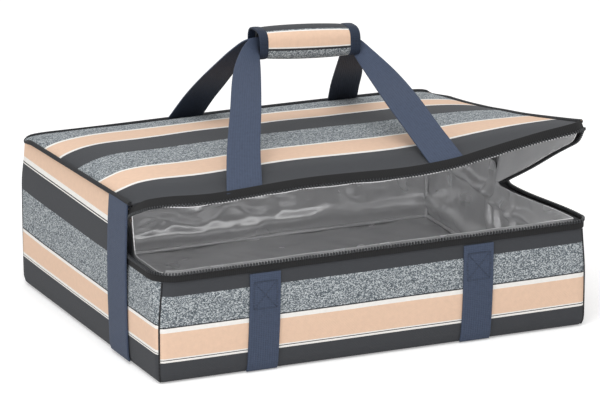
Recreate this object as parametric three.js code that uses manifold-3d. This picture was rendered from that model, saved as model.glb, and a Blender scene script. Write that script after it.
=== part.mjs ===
// A soft insulated food carrier: a foam-walled tub with a foil lining, a padded lid that hinges on its
// back seam and zips round the front and right, webbing straps and a webbing handle with a padded grip.
// Millimetres, +Z up, origin at the middle of the underside, front towards -Y.
import * as THREE from "three";
import { mergeVertices } from "three/addons/utils/BufferGeometryUtils.js";
import Module from "manifold-3d";

// Driving dimensions
const WIDTH = 440;
const DEPTH = 344;
const HEIGHT = 145; // top of the lid at the back seam
const ZIP_DROP = 38; // middle of the closed zip below the top
const CORNER_RADIUS = 14; // upright corners, outer face
const GAP = 0.3; // between pieces that touch

const CLOTH = 1.5;
const FOAM = 6;
const LINING = 1;
const BOARD = 3;

const ZIP_LEFT_RUN = 89; // the zip turns up the left side this far, to end under the left strap
const ZIP_REAR_STOP = 52; // and stops this far from the back on the right side
const ZIP_OPEN_RUN = 196; // it is open this far back along the right side, where the slider rests
const TAPE_HEIGHT = 9;
const TAPE_THICKNESS = 1.2;
const COIL_HEIGHT = 2.4;
const COIL_WIDTH = 3;
const COIL_SPACING = 2.4; // clear height between the two coils of the closed zip
const COIL_CHAMFER = 0.6;
const STOP_LENGTH = 4;

const SLIDER_LENGTH = 10;
const SLIDER_HEIGHT = 9.8;
const SLIDER_PLATE = 1.4;
const SLIDER_LUG = 1.2;
const PULLER_LENGTH = 24;
const PULLER_THICKNESS = 1.2;
const PULLER_NECK = 3.8;
const PULLER_TAB = 7.5;
const PIN_RADIUS = 0.7;
const PIN_CLEARANCE = 0.25;
const PIN_SIDES = 16;

const PIPING = 4.4;
const PIPING_CHAMFER = 1.2;
const BINDING = 4; // bound seams of the lining
const LID_OPEN = 9; // degrees from zipped shut to the resting lid
const LID_CROWN = 10; // swell of the padded lid between its edges
const LID_CROWN_EDGE = 0.4; // power that rounds the swell off at the sides
const LID_LIFT = 27; // the front right corner curls up this far above the zip
const LID_CURL = 1.7; // power of the curl, across and along the lid
const LID_DROOP = 6.5; // the left edge hangs this far where it is sewn to the soft wall
const LID_DROOP_SIDE = 12; // power that keeps the droop to the left edge
const LID_COLUMNS = 8;
const LID_ROWS = 6;
const SKIRT_RUN = 75; // the curled-up zip falls back to the rim over this length of the right side
const SKIRT_LEAST = 2; // the right skirt starts where it is this tall

const WEBBING_WIDTH = 31;
const WEBBING = 1.8;
const SIDE_STRAP_WIDTH = 44;
const FRONT_STRAP_X = [-113, 106];
const ARM_FRONT_X = [-132, 76];
const ARM_BACK_X = [-65, 121];
const ARM_SEWN = 26; // length of the arm that is sewn flat on the lid
const ARM_BUILD = 2.2; // room under the sewn webbing for the lid's swell across its width
const ARM_FRONT_BOW = [ // share of the way in to the grip's end, share of the run, share of the rise
  [[0.1, 0.24, 0.24], [0.35, 0.57, 0.6], [0.6, 0.83, 0.88]],
  [[-0.09, 0.24, 0.24], [-0.4, 0.57, 0.59], [-0.8, 0.83, 0.86]],
];
const ARM_BACK_BOW = [
  [[-0.2, 0.34, 0.47], [-0.9, 0.69, 0.87]],
  [[0.2, 0.34, 0.5], [0.47, 0.69, 0.88]],
];
const ARM_GATHER = [0, 0.51, 0.86]; // direction of the webbing's width where the grip gathers it
const ARM_GATHER_FROM = 0.55; // share of the arm from which the webbing turns on edge
const ARM_LEAD = 16; // straight run of the gathered webbing into the grip
const ARM_SPREAD = 0.3; // the two layers part by this slope before it
const ARM_STEPS = 14;

const GRIP_LENGTH = 118;
const GRIP_X = 6;
const GRIP_DEPTH = 38;
const GRIP_HEIGHT = 32;
const GRIP_WALL = 3;
const GRIP_RISE = 111; // middle of the grip above the lid's underside
const GRIP_SETBACK = 161; // middle of the grip behind the lid's front edge
const GRIP_BINDING = 11;

// Derived planes and places
const HALF_W = WIDTH / 2;
const HALF_D = DEPTH / 2;
const ZIP_HEIGHT = HEIGHT - ZIP_DROP;
const ZIP_LEFT_END = -HALF_D + ZIP_LEFT_RUN;
const ZIP_REAR_END = HALF_D - ZIP_REAR_STOP;
const ZIP_OPEN_END = -HALF_D + ZIP_OPEN_RUN;
const FOAM_INSET = CLOTH + GAP;
const LINING_INSET = FOAM_INSET + FOAM + GAP;
const WALL = LINING_INSET + LINING;
const LID_THICKNESS = WALL;
const HINGE_Z = HEIGHT - LID_THICKNESS;
const COIL_TOP = ZIP_HEIGHT - COIL_SPACING / 2;
const UPPER_COIL = ZIP_HEIGHT + COIL_SPACING / 2;
const SLIDER_CLEARANCE = COIL_WIDTH / 2 + GAP;
const RIM = ZIP_HEIGHT - SLIDER_HEIGHT / 2 - GAP; // top of the walls under the zip
const TAPE_MIDDLE = GAP + TAPE_THICKNESS / 2; // tape's centre line outside the walls
const UPPER_TAPE = UPPER_COIL + COIL_HEIGHT + GAP;
const LID_FRONT_DROP = HINGE_Z - (UPPER_TAPE + GAP);
const LID_SLOPE = Math.asin(LID_FRONT_DROP / DEPTH); // the zipped lid falls this much to the front
const LID_LENGTH = DEPTH / Math.cos(LID_SLOPE) - LID_THICKNESS * Math.tan(LID_SLOPE);
const BOARD_Z = CLOTH + GAP;
const BASE_FOAM_Z = BOARD_Z + BOARD + GAP;
const FLOOR_Z = BASE_FOAM_Z + FOAM + GAP;
const LINING_WALL_Z = FLOOR_Z + LINING + GAP;
const FRONT = -Math.PI / 2;
const RIGHT = 0;
const BACK = Math.PI / 2;
const LEFT = Math.PI;
const ARC_STEPS = 4;
const ROUND_STEPS = 8;
const SAME_POINT = 1e-3;

const wasm = await Module();
wasm.setup();

// Solids and booleans

function toSolid(geometry) {
  const bare = geometry.clone();
  bare.deleteAttribute("normal");
  bare.deleteAttribute("uv");
  const merged = mergeVertices(bare, SAME_POINT);
  return new wasm.Manifold(
    new wasm.Mesh({
      numProp: 3,
      vertProperties: new Float32Array(merged.attributes.position.array),
      triVerts: new Uint32Array(merged.index.array),
    }),
  );
}

function toGeometry(solid) {
  const mesh = solid.getMesh();
  return new THREE.BufferGeometry()
    .setAttribute("position", new THREE.BufferAttribute(new Float32Array(mesh.vertProperties), 3))
    .setIndex(new THREE.BufferAttribute(new Uint32Array(mesh.triVerts), 1));
}

function subtract(geometry, ...cutters) {
  return toGeometry(cutters.reduce((solid, cutter) => solid.subtract(toSolid(cutter)), toSolid(geometry)));
}

function join(geometry, ...others) {
  return toGeometry(others.reduce((solid, other) => solid.add(toSolid(other)), toSolid(geometry)));
}

// Plan outlines

function arc(x, y, radius, from, to, steps = ARC_STEPS) {
  return Array.from({ length: steps + 1 }, (_, i) => {
    const angle = from + ((to - from) * i) / steps;
    return new THREE.Vector2(x + radius * Math.cos(angle), y + radius * Math.sin(angle));
  });
}

function outline(points) {
  const kept = points.filter((p, i) => p.distanceTo(points[(i + 1) % points.length]) > SAME_POINT);
  return new THREE.Shape(kept);
}

function extrude(shape, z0, z1, chamfer = 0) {
  const geometry = new THREE.ExtrudeGeometry(shape, {
    depth: z1 - z0 - 2 * chamfer,
    bevelEnabled: chamfer > 0,
    bevelThickness: chamfer,
    bevelSize: chamfer,
    bevelOffset: -chamfer,
    bevelSegments: 1,
  });
  return geometry.translate(0, 0, z0 + chamfer);
}

function box(x0, x1, y0, y1, z0, z1) {
  const block = new THREE.BoxGeometry(x1 - x0, y1 - y0, z1 - z0);
  return block.translate((x0 + x1) / 2, (y0 + y1) / 2, (z0 + z1) / 2);
}

// Rounded oblong of the tub's plan, drawn in by inset.
function tubPlan(inset) {
  const radius = CORNER_RADIUS - inset;
  const x = HALF_W - CORNER_RADIUS;
  const y = HALF_D - CORNER_RADIUS;
  return [
    ...arc(x, y, radius, 0, BACK),
    ...arc(-x, y, radius, BACK, LEFT),
    ...arc(-x, -y, radius, LEFT, 1.5 * LEFT),
    ...arc(x, -y, radius, 1.5 * LEFT, 2 * LEFT),
  ];
}

// Plan of one wall layer, from mitre to mitre round half of each corner. facing is its outward angle.
function wallPlan(facing, outerInset, innerInset) {
  const outer = CORNER_RADIUS - outerInset;
  const inner = CORNER_RADIUS - innerInset;
  const half = Math.PI / 4;
  const centre = (angle) => [
    Math.sign(Math.cos(angle)) * (HALF_W - CORNER_RADIUS),
    Math.sign(Math.sin(angle)) * (HALF_D - CORNER_RADIUS),
  ];
  const first = centre(facing - half);
  const last = centre(facing + half);
  const trim = (radius) => Math.asin(GAP / 2 / radius);
  return outline([
    ...arc(...first, outer, facing - half + trim(outer), facing),
    ...arc(...last, outer, facing, facing + half - trim(outer)),
    ...arc(...last, inner, facing + half - trim(inner), facing),
    ...arc(...first, inner, facing, facing - half + trim(inner)),
  ]);
}

// Numbers from one value to another in equal steps, both ends included.
function spread(steps, from, to) {
  return Array.from({ length: steps + 1 }, (_, i) => from + ((to - from) * i) / steps);
}

// A closed skin over a row of sections with the same number of points, capped at both ends. The first half
// of a section faces its second half, and the quads of both are split the same way, so that layers nest.
function loft(sections) {
  const size = sections[0].length;
  const triangles = [];
  const quad = (a, b, c, d) => triangles.push(a, b, c, a, c, d);
  for (let i = 0; i + 1 < sections.length; i++)
    for (let k = 0; k < size; k++) {
      const a = size * i + k;
      const b = size * i + ((k + 1) % size);
      if (k < size / 2) quad(a, b, b + size, a + size);
      else quad(b, b + size, a + size, a);
    }
  const last = size * (sections.length - 1);
  for (let k = 0; k < size / 2 - 1; k++) {
    quad(k, size - 1 - k, size - 2 - k, k + 1);
    quad(last + k, last + k + 1, last + size - 2 - k, last + size - 1 - k);
  }
  const points = sections.flat();
  let volume = 0;
  for (let i = 0; i < triangles.length; i += 3) {
    const [a, b, c] = triangles.slice(i, i + 3).map((corner) => points[corner]);
    volume += a.clone().cross(b).dot(c);
  }
  if (volume < 0) triangles.reverse();
  return new THREE.BufferGeometry().setFromPoints(points).setIndex(triangles);
}

// Corners of an oblong with its corners cut off by chamfer, from (0, 0) to (width, height).
function cutOblong(width, height, chamfer) {
  const c = chamfer;
  if (c === 0) return [[0, 0], [width, 0], [width, height], [0, height]];
  return [
    [c, 0], [width - c, 0], [width, c], [width, height - c],
    [width - c, height], [c, height], [0, height - c], [0, c],
  ];
}

// A strip that runs round the front of the tub, up the left side to ZIP_LEFT_END and the right to
// ZIP_REAR_END, with its centre line TAPE_MIDDLE outside the walls. rise(x, y) lifts it.
function zipStrip(width, z0, z1, chamfer, rise) {
  const x = HALF_W - CORNER_RADIUS;
  const y = HALF_D - CORNER_RADIUS;
  const steps = (count, from, to) => spread(count, from, to).slice(0, -1);
  const turn = (from) => steps(ARC_STEPS, from, from + Math.PI / 2);
  const spots = [
    [-x, ZIP_LEFT_END, LEFT],
    ...turn(LEFT).map((angle) => [-x, -y, angle]),
    ...steps(LID_COLUMNS, -x, x).map((at) => [at, -y, 1.5 * LEFT]),
    ...turn(1.5 * LEFT).map((angle) => [x, -y, angle]),
    ...steps(LID_ROWS, -y, -HALF_D + SKIRT_RUN).map((at) => [x, at, 2 * LEFT]),
    [x, -HALF_D + SKIRT_RUN, 2 * LEFT],
    [x, ZIP_REAR_END, 2 * LEFT],
  ];
  const reach = CORNER_RADIUS + TAPE_MIDDLE - width / 2;
  return loft(
    spots.map(([px, py, angle]) => {
      const [cx, cy] = [Math.cos(angle), Math.sin(angle)];
      const lift = rise(px + reach * cx, py + reach * cy);
      return cutOblong(width, z1 - z0, chamfer).map(
        ([out, up]) => new THREE.Vector3(px + (reach + out) * cx, py + (reach + out) * cy, z0 + up + lift),
      );
    }),
  );
}

// Flat webbing that follows a line of points, its width along each point's own direction.
function webbing(points, width, across = () => new THREE.Vector3(1, 0, 0)) {
  const line = points.map((p) => new THREE.Vector3(...p));
  return loft(
    line.map((point, i) => {
      const before = line[Math.max(i - 1, 0)];
      const after = line[Math.min(i + 1, line.length - 1)];
      const along = after.clone().sub(before).normalize();
      const side = across(i / (line.length - 1));
      side.addScaledVector(along, -side.dot(along)).normalize();
      const normal = along.clone().cross(side).normalize();
      return [[-1, -1], [1, -1], [1, 1], [-1, 1]].map(([s, face]) =>
        point
          .clone()
          .addScaledVector(side, (s * width) / 2)
          .addScaledVector(normal, (face * WEBBING) / 2),
      );
    }),
  );
}

// Finishes

const finish =
  (color, roughness, metalness = 0) =>
  () =>
    new THREE.MeshStandardMaterial({ color, roughness, metalness });
const stripedCloth = finish(0xb9a797, 0.9);
const charcoalCloth = finish(0x45474b, 0.9);
const foil = finish(0xb4b6b8, 0.35, 0.8);
const foamSheet = finish(0xe8e6e0, 1);
const boardSheet = finish(0x2c2c2e, 0.7);
const navyWebbing = finish(0x4a5568, 0.85);
const blackTape = finish(0x1c1c1f, 0.85);
const zipNylon = finish(0x151517, 0.4);
const zipMetal = finish(0x35363a, 0.35, 0.9);
const pipingCord = finish(0x2b2c30, 0.8);

const bag = new THREE.Group();

function place(parent, name, geometry, material) {
  const mesh = new THREE.Mesh(geometry, material());
  mesh.name = name;
  parent.add(mesh);
}

// Base: cloth, board, foam and foil, one on another.
place(bag, "base_outer", extrude(outline(tubPlan(0)), 0, CLOTH), charcoalCloth);
place(bag, "base_board", extrude(outline(tubPlan(FOAM_INSET)), BOARD_Z, BOARD_Z + BOARD), boardSheet);
place(bag, "base_foam", extrude(outline(tubPlan(FOAM_INSET)), BASE_FOAM_Z, BASE_FOAM_Z + FOAM), foamSheet);
place(bag, "base_lining", extrude(outline(tubPlan(LINING_INSET)), FLOOR_Z, FLOOR_Z + LINING), foil);

// Walls: the front stops at the zip, the sides step up behind the zip's ends, the back is full height.
// The left one stops lower, at the drooping edge of the lid.
const overLid = HEIGHT + WALL;
const aboveClosedLid = (drop) =>
  new THREE.BoxGeometry(2 * WIDTH, 2 * DEPTH, HEIGHT)
    .translate(0, 0, HEIGHT / 2 - GAP)
    .rotateX(LID_SLOPE)
    .translate(0, HALF_D, HINGE_Z - GAP - drop);
const aboveZip = (end) => box(-WIDTH, WIDTH, -DEPTH, end + GAP, RIM, 2 * HEIGHT);
const walls = [
  ["front", FRONT, [aboveZip(DEPTH)]],
  ["back", BACK, [aboveClosedLid(0)]],
  ["left", LEFT, [aboveClosedLid(LID_DROOP), aboveZip(ZIP_LEFT_END)]],
  ["right", RIGHT, [aboveClosedLid(0), aboveZip(ZIP_REAR_END)]],
];
for (const [side, facing, cuts] of walls) {
  const layer = (outer, inner, z0) => subtract(extrude(wallPlan(facing, outer, inner), z0, overLid), ...cuts);
  place(bag, `${side}_outer`, layer(0, CLOTH, BOARD_Z), stripedCloth);
  place(bag, `${side}_foam`, layer(FOAM_INSET, FOAM_INSET + FOAM, FLOOR_Z), foamSheet);
  place(bag, `${side}_lining`, layer(LINING_INSET, WALL, LINING_WALL_Z), foil);
}

// Bound seams of the lining: one round the floor and one up each corner.
const floorBinding = outline(tubPlan(WALL + GAP));
floorBinding.holes.push(new THREE.Path(tubPlan(WALL + GAP + BINDING).reverse()));
place(bag, "floor_binding", extrude(floorBinding, LINING_WALL_Z, LINING_WALL_Z + BINDING), foil);
const seamRadius = BINDING / 2;
const seamReach = CORNER_RADIUS - WALL - seamRadius - GAP;
const corners = [
  ["front_left", -1, -1],
  ["front_right", 1, -1],
  ["back_left", -1, 1],
  ["back_right", 1, 1],
];
for (const [name, sx, sy] of corners) {
  const x = sx * (HALF_W - CORNER_RADIUS + seamReach * Math.SQRT1_2);
  const y = sy * (HALF_D - CORNER_RADIUS + seamReach * Math.SQRT1_2);
  const seam = outline(arc(x, y, seamRadius, 0, 2 * Math.PI, ROUND_STEPS).slice(1));
  place(bag, `corner_binding_${name}`, extrude(seam, LINING_WALL_Z + BINDING + GAP, RIM - GAP), foil);
}

// Lower half of the zip, round the rim of the tub.
const level = () => 0;
const tape = (z, rise) => zipStrip(TAPE_THICKNESS, z, z + TAPE_HEIGHT, 0, rise);
const coil = (z, rise) => zipStrip(COIL_WIDTH, z, z + COIL_HEIGHT, COIL_CHAMFER, rise);
const lowerTapeTop = COIL_TOP - COIL_HEIGHT - GAP;
place(bag, "lower_zip_tape", tape(lowerTapeTop - TAPE_HEIGHT, level), blackTape);
place(bag, "lower_zip_coil", coil(COIL_TOP - COIL_HEIGHT, level), zipNylon);
const stopOuter = HALF_W + TAPE_MIDDLE + COIL_WIDTH / 2;
for (const [name, side, y] of [["zip_stop_left", -1, ZIP_LEFT_END], ["zip_stop_rear", 1, ZIP_REAR_END]]) {
  const inside = HALF_W + GAP;
  const span = side < 0 ? [-stopOuter, -inside] : [inside, stopOuter];
  const block = box(...span, y + GAP, y + GAP + STOP_LENGTH, lowerTapeTop - COIL_HEIGHT, COIL_TOP);
  place(bag, name, block, zipMetal);
}

// Straps sewn down the walls and into the bottom seam.
const strapFace = GAP + WEBBING / 2;
FRONT_STRAP_X.forEach((x, i) => {
  const y = -HALF_D - strapFace;
  const run = [[x, y, lowerTapeTop - TAPE_HEIGHT - GAP], [x, y, BOARD_Z]];
  place(bag, `front_strap_${["left", "right"][i]}`, webbing(run, WEBBING_WIDTH), navyWebbing);
});
const backStrapTop = HINGE_Z - 2 * PIPING;
ARM_BACK_X.forEach((x, i) => {
  const y = HALF_D + strapFace;
  const run = [[x, y, BOARD_Z], [x, y, backStrapTop]];
  place(bag, `back_strap_${["left", "right"][i]}`, webbing(run, WEBBING_WIDTH), navyWebbing);
});

// The soft lid's height above its flat plane: x across, run from the back seam to the front.
const shareAcross = (x) => Math.min(Math.max((x + HALF_W) / WIDTH, 0), 1);
const shareAlong = (run) => Math.min(Math.max(run / LID_LENGTH, 0), 1);
const lidCurl = (x, run) => LID_LIFT * (shareAcross(x) * shareAlong(run)) ** LID_CURL;
function lidSwell(x, run) {
  const [u, t] = [shareAcross(x), shareAlong(run)];
  const bulge = 4 * t * (1 - t);
  const crown = LID_CROWN * bulge * Math.sin(Math.PI * u) ** LID_CROWN_EDGE;
  const droop = LID_DROOP * bulge * (1 - u) ** LID_DROOP_SIDE;
  return crown + lidCurl(x, run) - droop;
}

// Left side strap, which covers the end of the zip, and the gusset that unfolds above the left wall.
const sideStrapX = -stopOuter - GAP - WEBBING;
const sideStrapFront = ZIP_LEFT_END - SIDE_STRAP_WIDTH / 2;
const sideStrapBack = ZIP_LEFT_END + SIDE_STRAP_WIDTH / 2;
const sideStrap = (z0, z1) =>
  box(sideStrapX, sideStrapX + WEBBING, sideStrapFront, sideStrapBack, z0, z1);
const lidAngle = THREE.MathUtils.degToRad(LID_OPEN) - LID_SLOPE;
const closedLid = (y) => HINGE_Z - (HALF_D - y) * Math.tan(LID_SLOPE);
const wallTop = (y) => closedLid(y) - LID_DROOP;
const lidEdge = (y) => HINGE_Z + (HALF_D - y) * Math.tan(lidAngle) + lidSwell(-HALF_W, HALF_D - y);
const sideStrapTop = wallTop(sideStrapFront) - GAP;
place(bag, "left_strap", sideStrap(BOARD_Z, sideStrapTop), navyWebbing);
const strapUpperTop = lidEdge(sideStrapBack);
place(bag, "left_strap_upper", sideStrap(sideStrapTop + GAP, strapUpperTop), navyWebbing);
const gussetBack = HALF_D - CORNER_RADIUS;
const gussetFront = ZIP_LEFT_END + GAP + STOP_LENGTH;
const gussetClear = 2 * GAP + LINING * Math.tan(lidAngle);
const gusset = new THREE.Shape([
  new THREE.Vector2(gussetFront, wallTop(gussetFront)),
  new THREE.Vector2(gussetBack, wallTop(gussetBack)),
  ...spread(LID_ROWS, gussetBack, gussetFront).map((y) => new THREE.Vector2(y, lidEdge(y) - gussetClear)),
]);
const facingX = (geometry) => geometry.rotateX(Math.PI / 2).rotateZ(Math.PI / 2);
const upright = (shape, x, thickness) => facingX(extrude(shape, x, x + thickness));
place(bag, "left_gusset", upright(gusset, -HALF_W, CLOTH), stripedCloth);

// Lid. Its group turns about the back seam: inside it, everything is drawn as it lies when zipped shut.
const lid = new THREE.Group();
lid.position.set(0, HALF_D, HINGE_Z);
lid.rotation.x = -THREE.MathUtils.degToRad(LID_OPEN);
bag.add(lid);
const shut = new THREE.Group();
shut.position.set(0, -HALF_D, -HINGE_Z);
lid.add(shut);

// Upper half of the zip, curled up with the corner, and the right skirt between it and the sloping lid.
function zipRise(x, y) {
  const fall = THREE.MathUtils.smoothstep(-HALF_D + SKIRT_RUN - y, 0, SKIRT_RUN - CORNER_RADIUS);
  return lidCurl(x, HALF_D - y) * fall;
}
place(shut, "upper_zip_tape", tape(UPPER_TAPE, zipRise), blackTape);
place(shut, "upper_zip_coil", coil(UPPER_COIL, zipRise), zipNylon);
const skirtFoot = (y) => ZIP_HEIGHT + SLIDER_HEIGHT / 2 + GAP + zipRise(HALF_W, y);
const skirtHead = (y) => closedLid(y) - 2 * GAP + lidSwell(HALF_W, HALF_D - y);
const skirtEnd = ZIP_REAR_END - GAP;
let skirtFront = -HALF_D + CORNER_RADIUS;
while (skirtHead(skirtFront) - skirtFoot(skirtFront) < SKIRT_LEAST) skirtFront += GAP;
const skirtLength = skirtEnd - skirtFront;
const skirtSteps = spread(LID_COLUMNS, 0, 1).map((share) => skirtFront + skirtLength * share ** 2);
const skirt = new THREE.Shape([
  ...skirtSteps.map((y) => new THREE.Vector2(y, skirtFoot(y))),
  ...skirtSteps.reverse().map((y) => new THREE.Vector2(y, skirtHead(y))),
]);
place(shut, "right_skirt_outer", upright(skirt, HALF_W - CLOTH, CLOTH), stripedCloth);
place(shut, "right_skirt_lining", upright(skirt, HALF_W - CLOTH - GAP - LINING, LINING), foil);

// Lid panel: cloth, foam and foil on the slope of the zipped lid, with piping on three edges.
const panel = new THREE.Group();
panel.rotation.x = LID_SLOPE;
lid.add(panel);
function onPanel(x, run, height) {
  const swell = lidSwell(x, run); // straight up in the shut bag
  return new THREE.Vector3(x, -run + swell * Math.sin(LID_SLOPE), height + swell * Math.cos(LID_SLOPE));
}
const front = LID_LENGTH - CORNER_RADIUS;
const runs = spread(LID_ROWS, 0, front);
const columns = spread(LID_COLUMNS, -HALF_W, HALF_W).slice(1, -1);
const turns = spread(ARC_STEPS, 0, Math.PI / 2).slice(1);
function lidLayer(edge, z0, z1) {
  const radius = CORNER_RADIUS - edge;
  const rows = [
    ...runs.map((run) => [Math.max(run, edge), HALF_W - edge]),
    ...turns.map((turn) => [
      front + radius * Math.sin(turn),
      HALF_W - CORNER_RADIUS + radius * Math.cos(turn),
    ]),
  ];
  return loft(
    rows.map(([run, half]) => {
      const across = [-half, ...columns, half];
      const face = (height) => across.map((x) => onPanel(x, run, height));
      return [...face(z1), ...face(z0).reverse()];
    }),
  );
}
const lidFoamZ = LINING + 2 * GAP; // the foil hangs a little loose under the twisted foam
const lidClothZ = LID_THICKNESS - CLOTH;
place(panel, "lid_lining", lidLayer(0, 0, LINING), foil);
place(panel, "lid_foam", lidLayer(PIPING + GAP, lidFoamZ, lidClothZ - GAP), foamSheet);
place(panel, "lid_outer", lidLayer(PIPING + GAP, lidClothZ, lidClothZ + CLOTH), stripedCloth);
const pipingSection = (spot) =>
  cutOblong(PIPING, PIPING, PIPING_CHAMFER).map(([inward, up]) =>
    onPanel(...spot(inward), LID_THICKNESS - PIPING + up),
  );
const piping = loft([
  ...runs.slice(1).reverse().map((run) => pipingSection((e) => [-HALF_W + e, run])),
  pipingSection((e) => [-HALF_W + e, e]),
  ...columns.map((x) => pipingSection((e) => [x, e])),
  pipingSection((e) => [HALF_W - e, e]),
  ...runs.slice(1).map((run) => pipingSection((e) => [HALF_W - e, run])),
]);
place(panel, "lid_piping", piping, pipingCord);

// Handle arms: sewn flat at the lid's front edge or dropped behind its back edge, and bowed up to the grip,
// where the webbing turns on edge.
const gripY = -LID_LENGTH + GRIP_SETBACK;
const overEdge = GAP + WEBBING / 2;
const [gripLeft, gripRight] = [GRIP_X - GRIP_LENGTH / 2, GRIP_X + GRIP_LENGTH / 2];
const armClear = 2 * GAP; // the arms stop short of the grip's core
const armEnds = [gripLeft - GAP - armClear, gripRight + GAP + armClear];
const gather = new THREE.Vector3(...ARM_GATHER);
["left", "right"].forEach((side, i) => {
  const end = armEnds[i];
  const turned = i === 0 ? 1 : -1;
  const layer = (WEBBING + GAP) / 2;
  const foot = (x, run) => onPanel(x, run, LID_THICKNESS + ARM_BUILD).toArray();
  const bow = ([x, y, z], steps) =>
    steps.map(([lean, run, rise]) => [
      x + (end - x) * lean,
      y + (gripY - y) * run,
      z + (GRIP_RISE - z) * rise,
    ]);
  const atGrip = (face) =>
    [ARM_LEAD, 0].map((lead) => {
      const apart = face * (layer + lead * ARM_SPREAD);
      return [end - turned * lead, gripY - apart * ARM_GATHER[2], GRIP_RISE + apart * ARM_GATHER[1]];
    });
  const smoothArm = (points) => {
    const knots = points.map((p) => new THREE.Vector3(...p));
    const curve = new THREE.CatmullRomCurve3(knots, false, "centripetal");
    const [x, y, z] = points.at(-1);
    const squareEnd = [x + turned * armClear / 2, y, z];
    return [...curve.getSpacedPoints(ARM_STEPS).map((p) => p.toArray()), squareEnd];
  };
  const onEdge = (sign) => (share) =>
    new THREE.Vector3(1, 0, 0).lerp(
      gather.clone().multiplyScalar(sign),
      THREE.MathUtils.smoothstep(share, ARM_GATHER_FROM, 1),
    );
  const sewn = foot(ARM_FRONT_X[i], LID_LENGTH - ARM_SEWN);
  const frontArm = [
    foot(ARM_FRONT_X[i], LID_LENGTH - GAP),
    foot(ARM_FRONT_X[i], LID_LENGTH - ARM_SEWN / 2),
    sewn,
    ...bow(sewn, ARM_FRONT_BOW[i]),
    ...atGrip(1),
  ];
  const backX = ARM_BACK_X[i];
  const risen = foot(backX, PIPING);
  const backArm = [
    [backX, overEdge + WEBBING + PIPING, -PIPING],
    [backX, overEdge + WEBBING / 2, LID_THICKNESS - PIPING],
    [backX, overEdge, LID_THICKNESS + overEdge],
    risen,
    ...bow(risen, ARM_BACK_BOW[i]),
    ...atGrip(-1),
  ];
  const frontLine = smoothArm(frontArm);
  const backLine = smoothArm(backArm);
  place(panel, `handle_arm_front_${side}`, webbing(frontLine, WEBBING_WIDTH, onEdge(-turned)), navyWebbing);
  place(panel, `handle_arm_back_${side}`, webbing(backLine, WEBBING_WIDTH, onEdge(turned)), navyWebbing);
});

// Grip: a padded wrap with bound ends, closed round the webbing of both handles.
const gripSection = (depth, height) => {
  const radius = height / 2;
  const flat = depth / 2 - radius;
  return outline([
    ...arc(flat, 0, radius, FRONT, BACK, ROUND_STEPS),
    ...arc(-flat, 0, radius, BACK, 1.5 * LEFT, ROUND_STEPS),
  ]);
};
const alongX = (shape, x0, x1) => facingX(extrude(shape, x0, x1)).translate(0, gripY, GRIP_RISE);
const sleeve = gripSection(GRIP_DEPTH, GRIP_HEIGHT);
const sleeveBore = gripSection(GRIP_DEPTH - 2 * GRIP_WALL, GRIP_HEIGHT - 2 * GRIP_WALL);
sleeve.holes.push(new THREE.Path(sleeveBore.getPoints().reverse()));
const coreInset = 2 * (GRIP_WALL + GAP);
const core = gripSection(GRIP_DEPTH - coreInset, GRIP_HEIGHT - coreInset);
const wrapSpan = [gripLeft + GRIP_BINDING + GAP, gripRight - GRIP_BINDING - GAP];
place(panel, "grip_wrap", alongX(sleeve, ...wrapSpan), stripedCloth);
place(panel, "grip_core", alongX(core, gripLeft, gripRight), navyWebbing);
place(panel, "grip_binding_left", alongX(sleeve, gripLeft, gripLeft + GRIP_BINDING), navyWebbing);
place(panel, "grip_binding_right", alongX(sleeve, gripRight - GRIP_BINDING, gripRight), navyWebbing);

// Zip slider, where the open zip ends on the right side, and its puller.
const coilX = HALF_W + TAPE_MIDDLE;
const sliderY = ZIP_OPEN_END - SLIDER_LENGTH;
const plateX = coilX + SLIDER_CLEARANCE;
const [sliderFoot, sliderTop] = [ZIP_HEIGHT - SLIDER_HEIGHT / 2, ZIP_HEIGHT + SLIDER_HEIGHT / 2];
const webHalf = COIL_SPACING / 2 - GAP;
const webZ = [ZIP_HEIGHT - webHalf, ZIP_HEIGHT + webHalf];
const pinX = plateX + SLIDER_PLATE + GAP + PULLER_THICKNESS;
const pinY = sliderY + SLIDER_LENGTH / 2;
const lugReach = pinX + 2 * PIN_RADIUS;
const lugZ = PULLER_NECK / 2 + GAP;
const lug = (z) => box(plateX, lugReach, pinY - 2 * PIN_RADIUS, pinY + 2 * PIN_RADIUS, z, z + SLIDER_LUG);
const round = (radius) => outline(arc(pinX, pinY, radius, 0, 2 * Math.PI, PIN_SIDES).slice(1));
const pinHalf = lugZ + SLIDER_LUG / 2;
const pin = extrude(round(PIN_RADIUS), ZIP_HEIGHT - pinHalf, ZIP_HEIGHT + pinHalf);
const sliderPlate = (x) => box(x, x + SLIDER_PLATE, sliderY, sliderY + SLIDER_LENGTH, sliderFoot, sliderTop);
const innerPlateX = coilX - SLIDER_CLEARANCE - SLIDER_PLATE;
const slider = join(
  sliderPlate(plateX),
  sliderPlate(innerPlateX),
  box(innerPlateX, plateX + GAP, sliderY, sliderY + SLIDER_LENGTH, ...webZ),
  lug(ZIP_HEIGHT + lugZ),
  lug(ZIP_HEIGHT - lugZ - SLIDER_LUG),
  pin,
);
place(bag, "zip_slider", slider, zipMetal);
const tabStart = pinY + SLIDER_LENGTH / 2 + GAP;
const tabX = [pinX - PULLER_THICKNESS / 2, pinX + PULLER_THICKNESS / 2];
const neckZ = [ZIP_HEIGHT - PULLER_NECK / 2, ZIP_HEIGHT + PULLER_NECK / 2];
const tabZ = [ZIP_HEIGHT - PULLER_TAB / 2, ZIP_HEIGHT + PULLER_TAB / 2];
const puller = subtract(
  join(
    extrude(round(PULLER_THICKNESS), ...neckZ),
    box(...tabX, pinY, tabStart + PULLER_THICKNESS, ...neckZ),
    box(...tabX, tabStart, pinY + PULLER_LENGTH, ...tabZ),
  ),
  extrude(round(PIN_RADIUS + PIN_CLEARANCE), 0, HEIGHT),
);
place(bag, "zip_puller", puller, zipMetal);

export default bag;
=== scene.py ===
import math
import bpy
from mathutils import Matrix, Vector, noise


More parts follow.
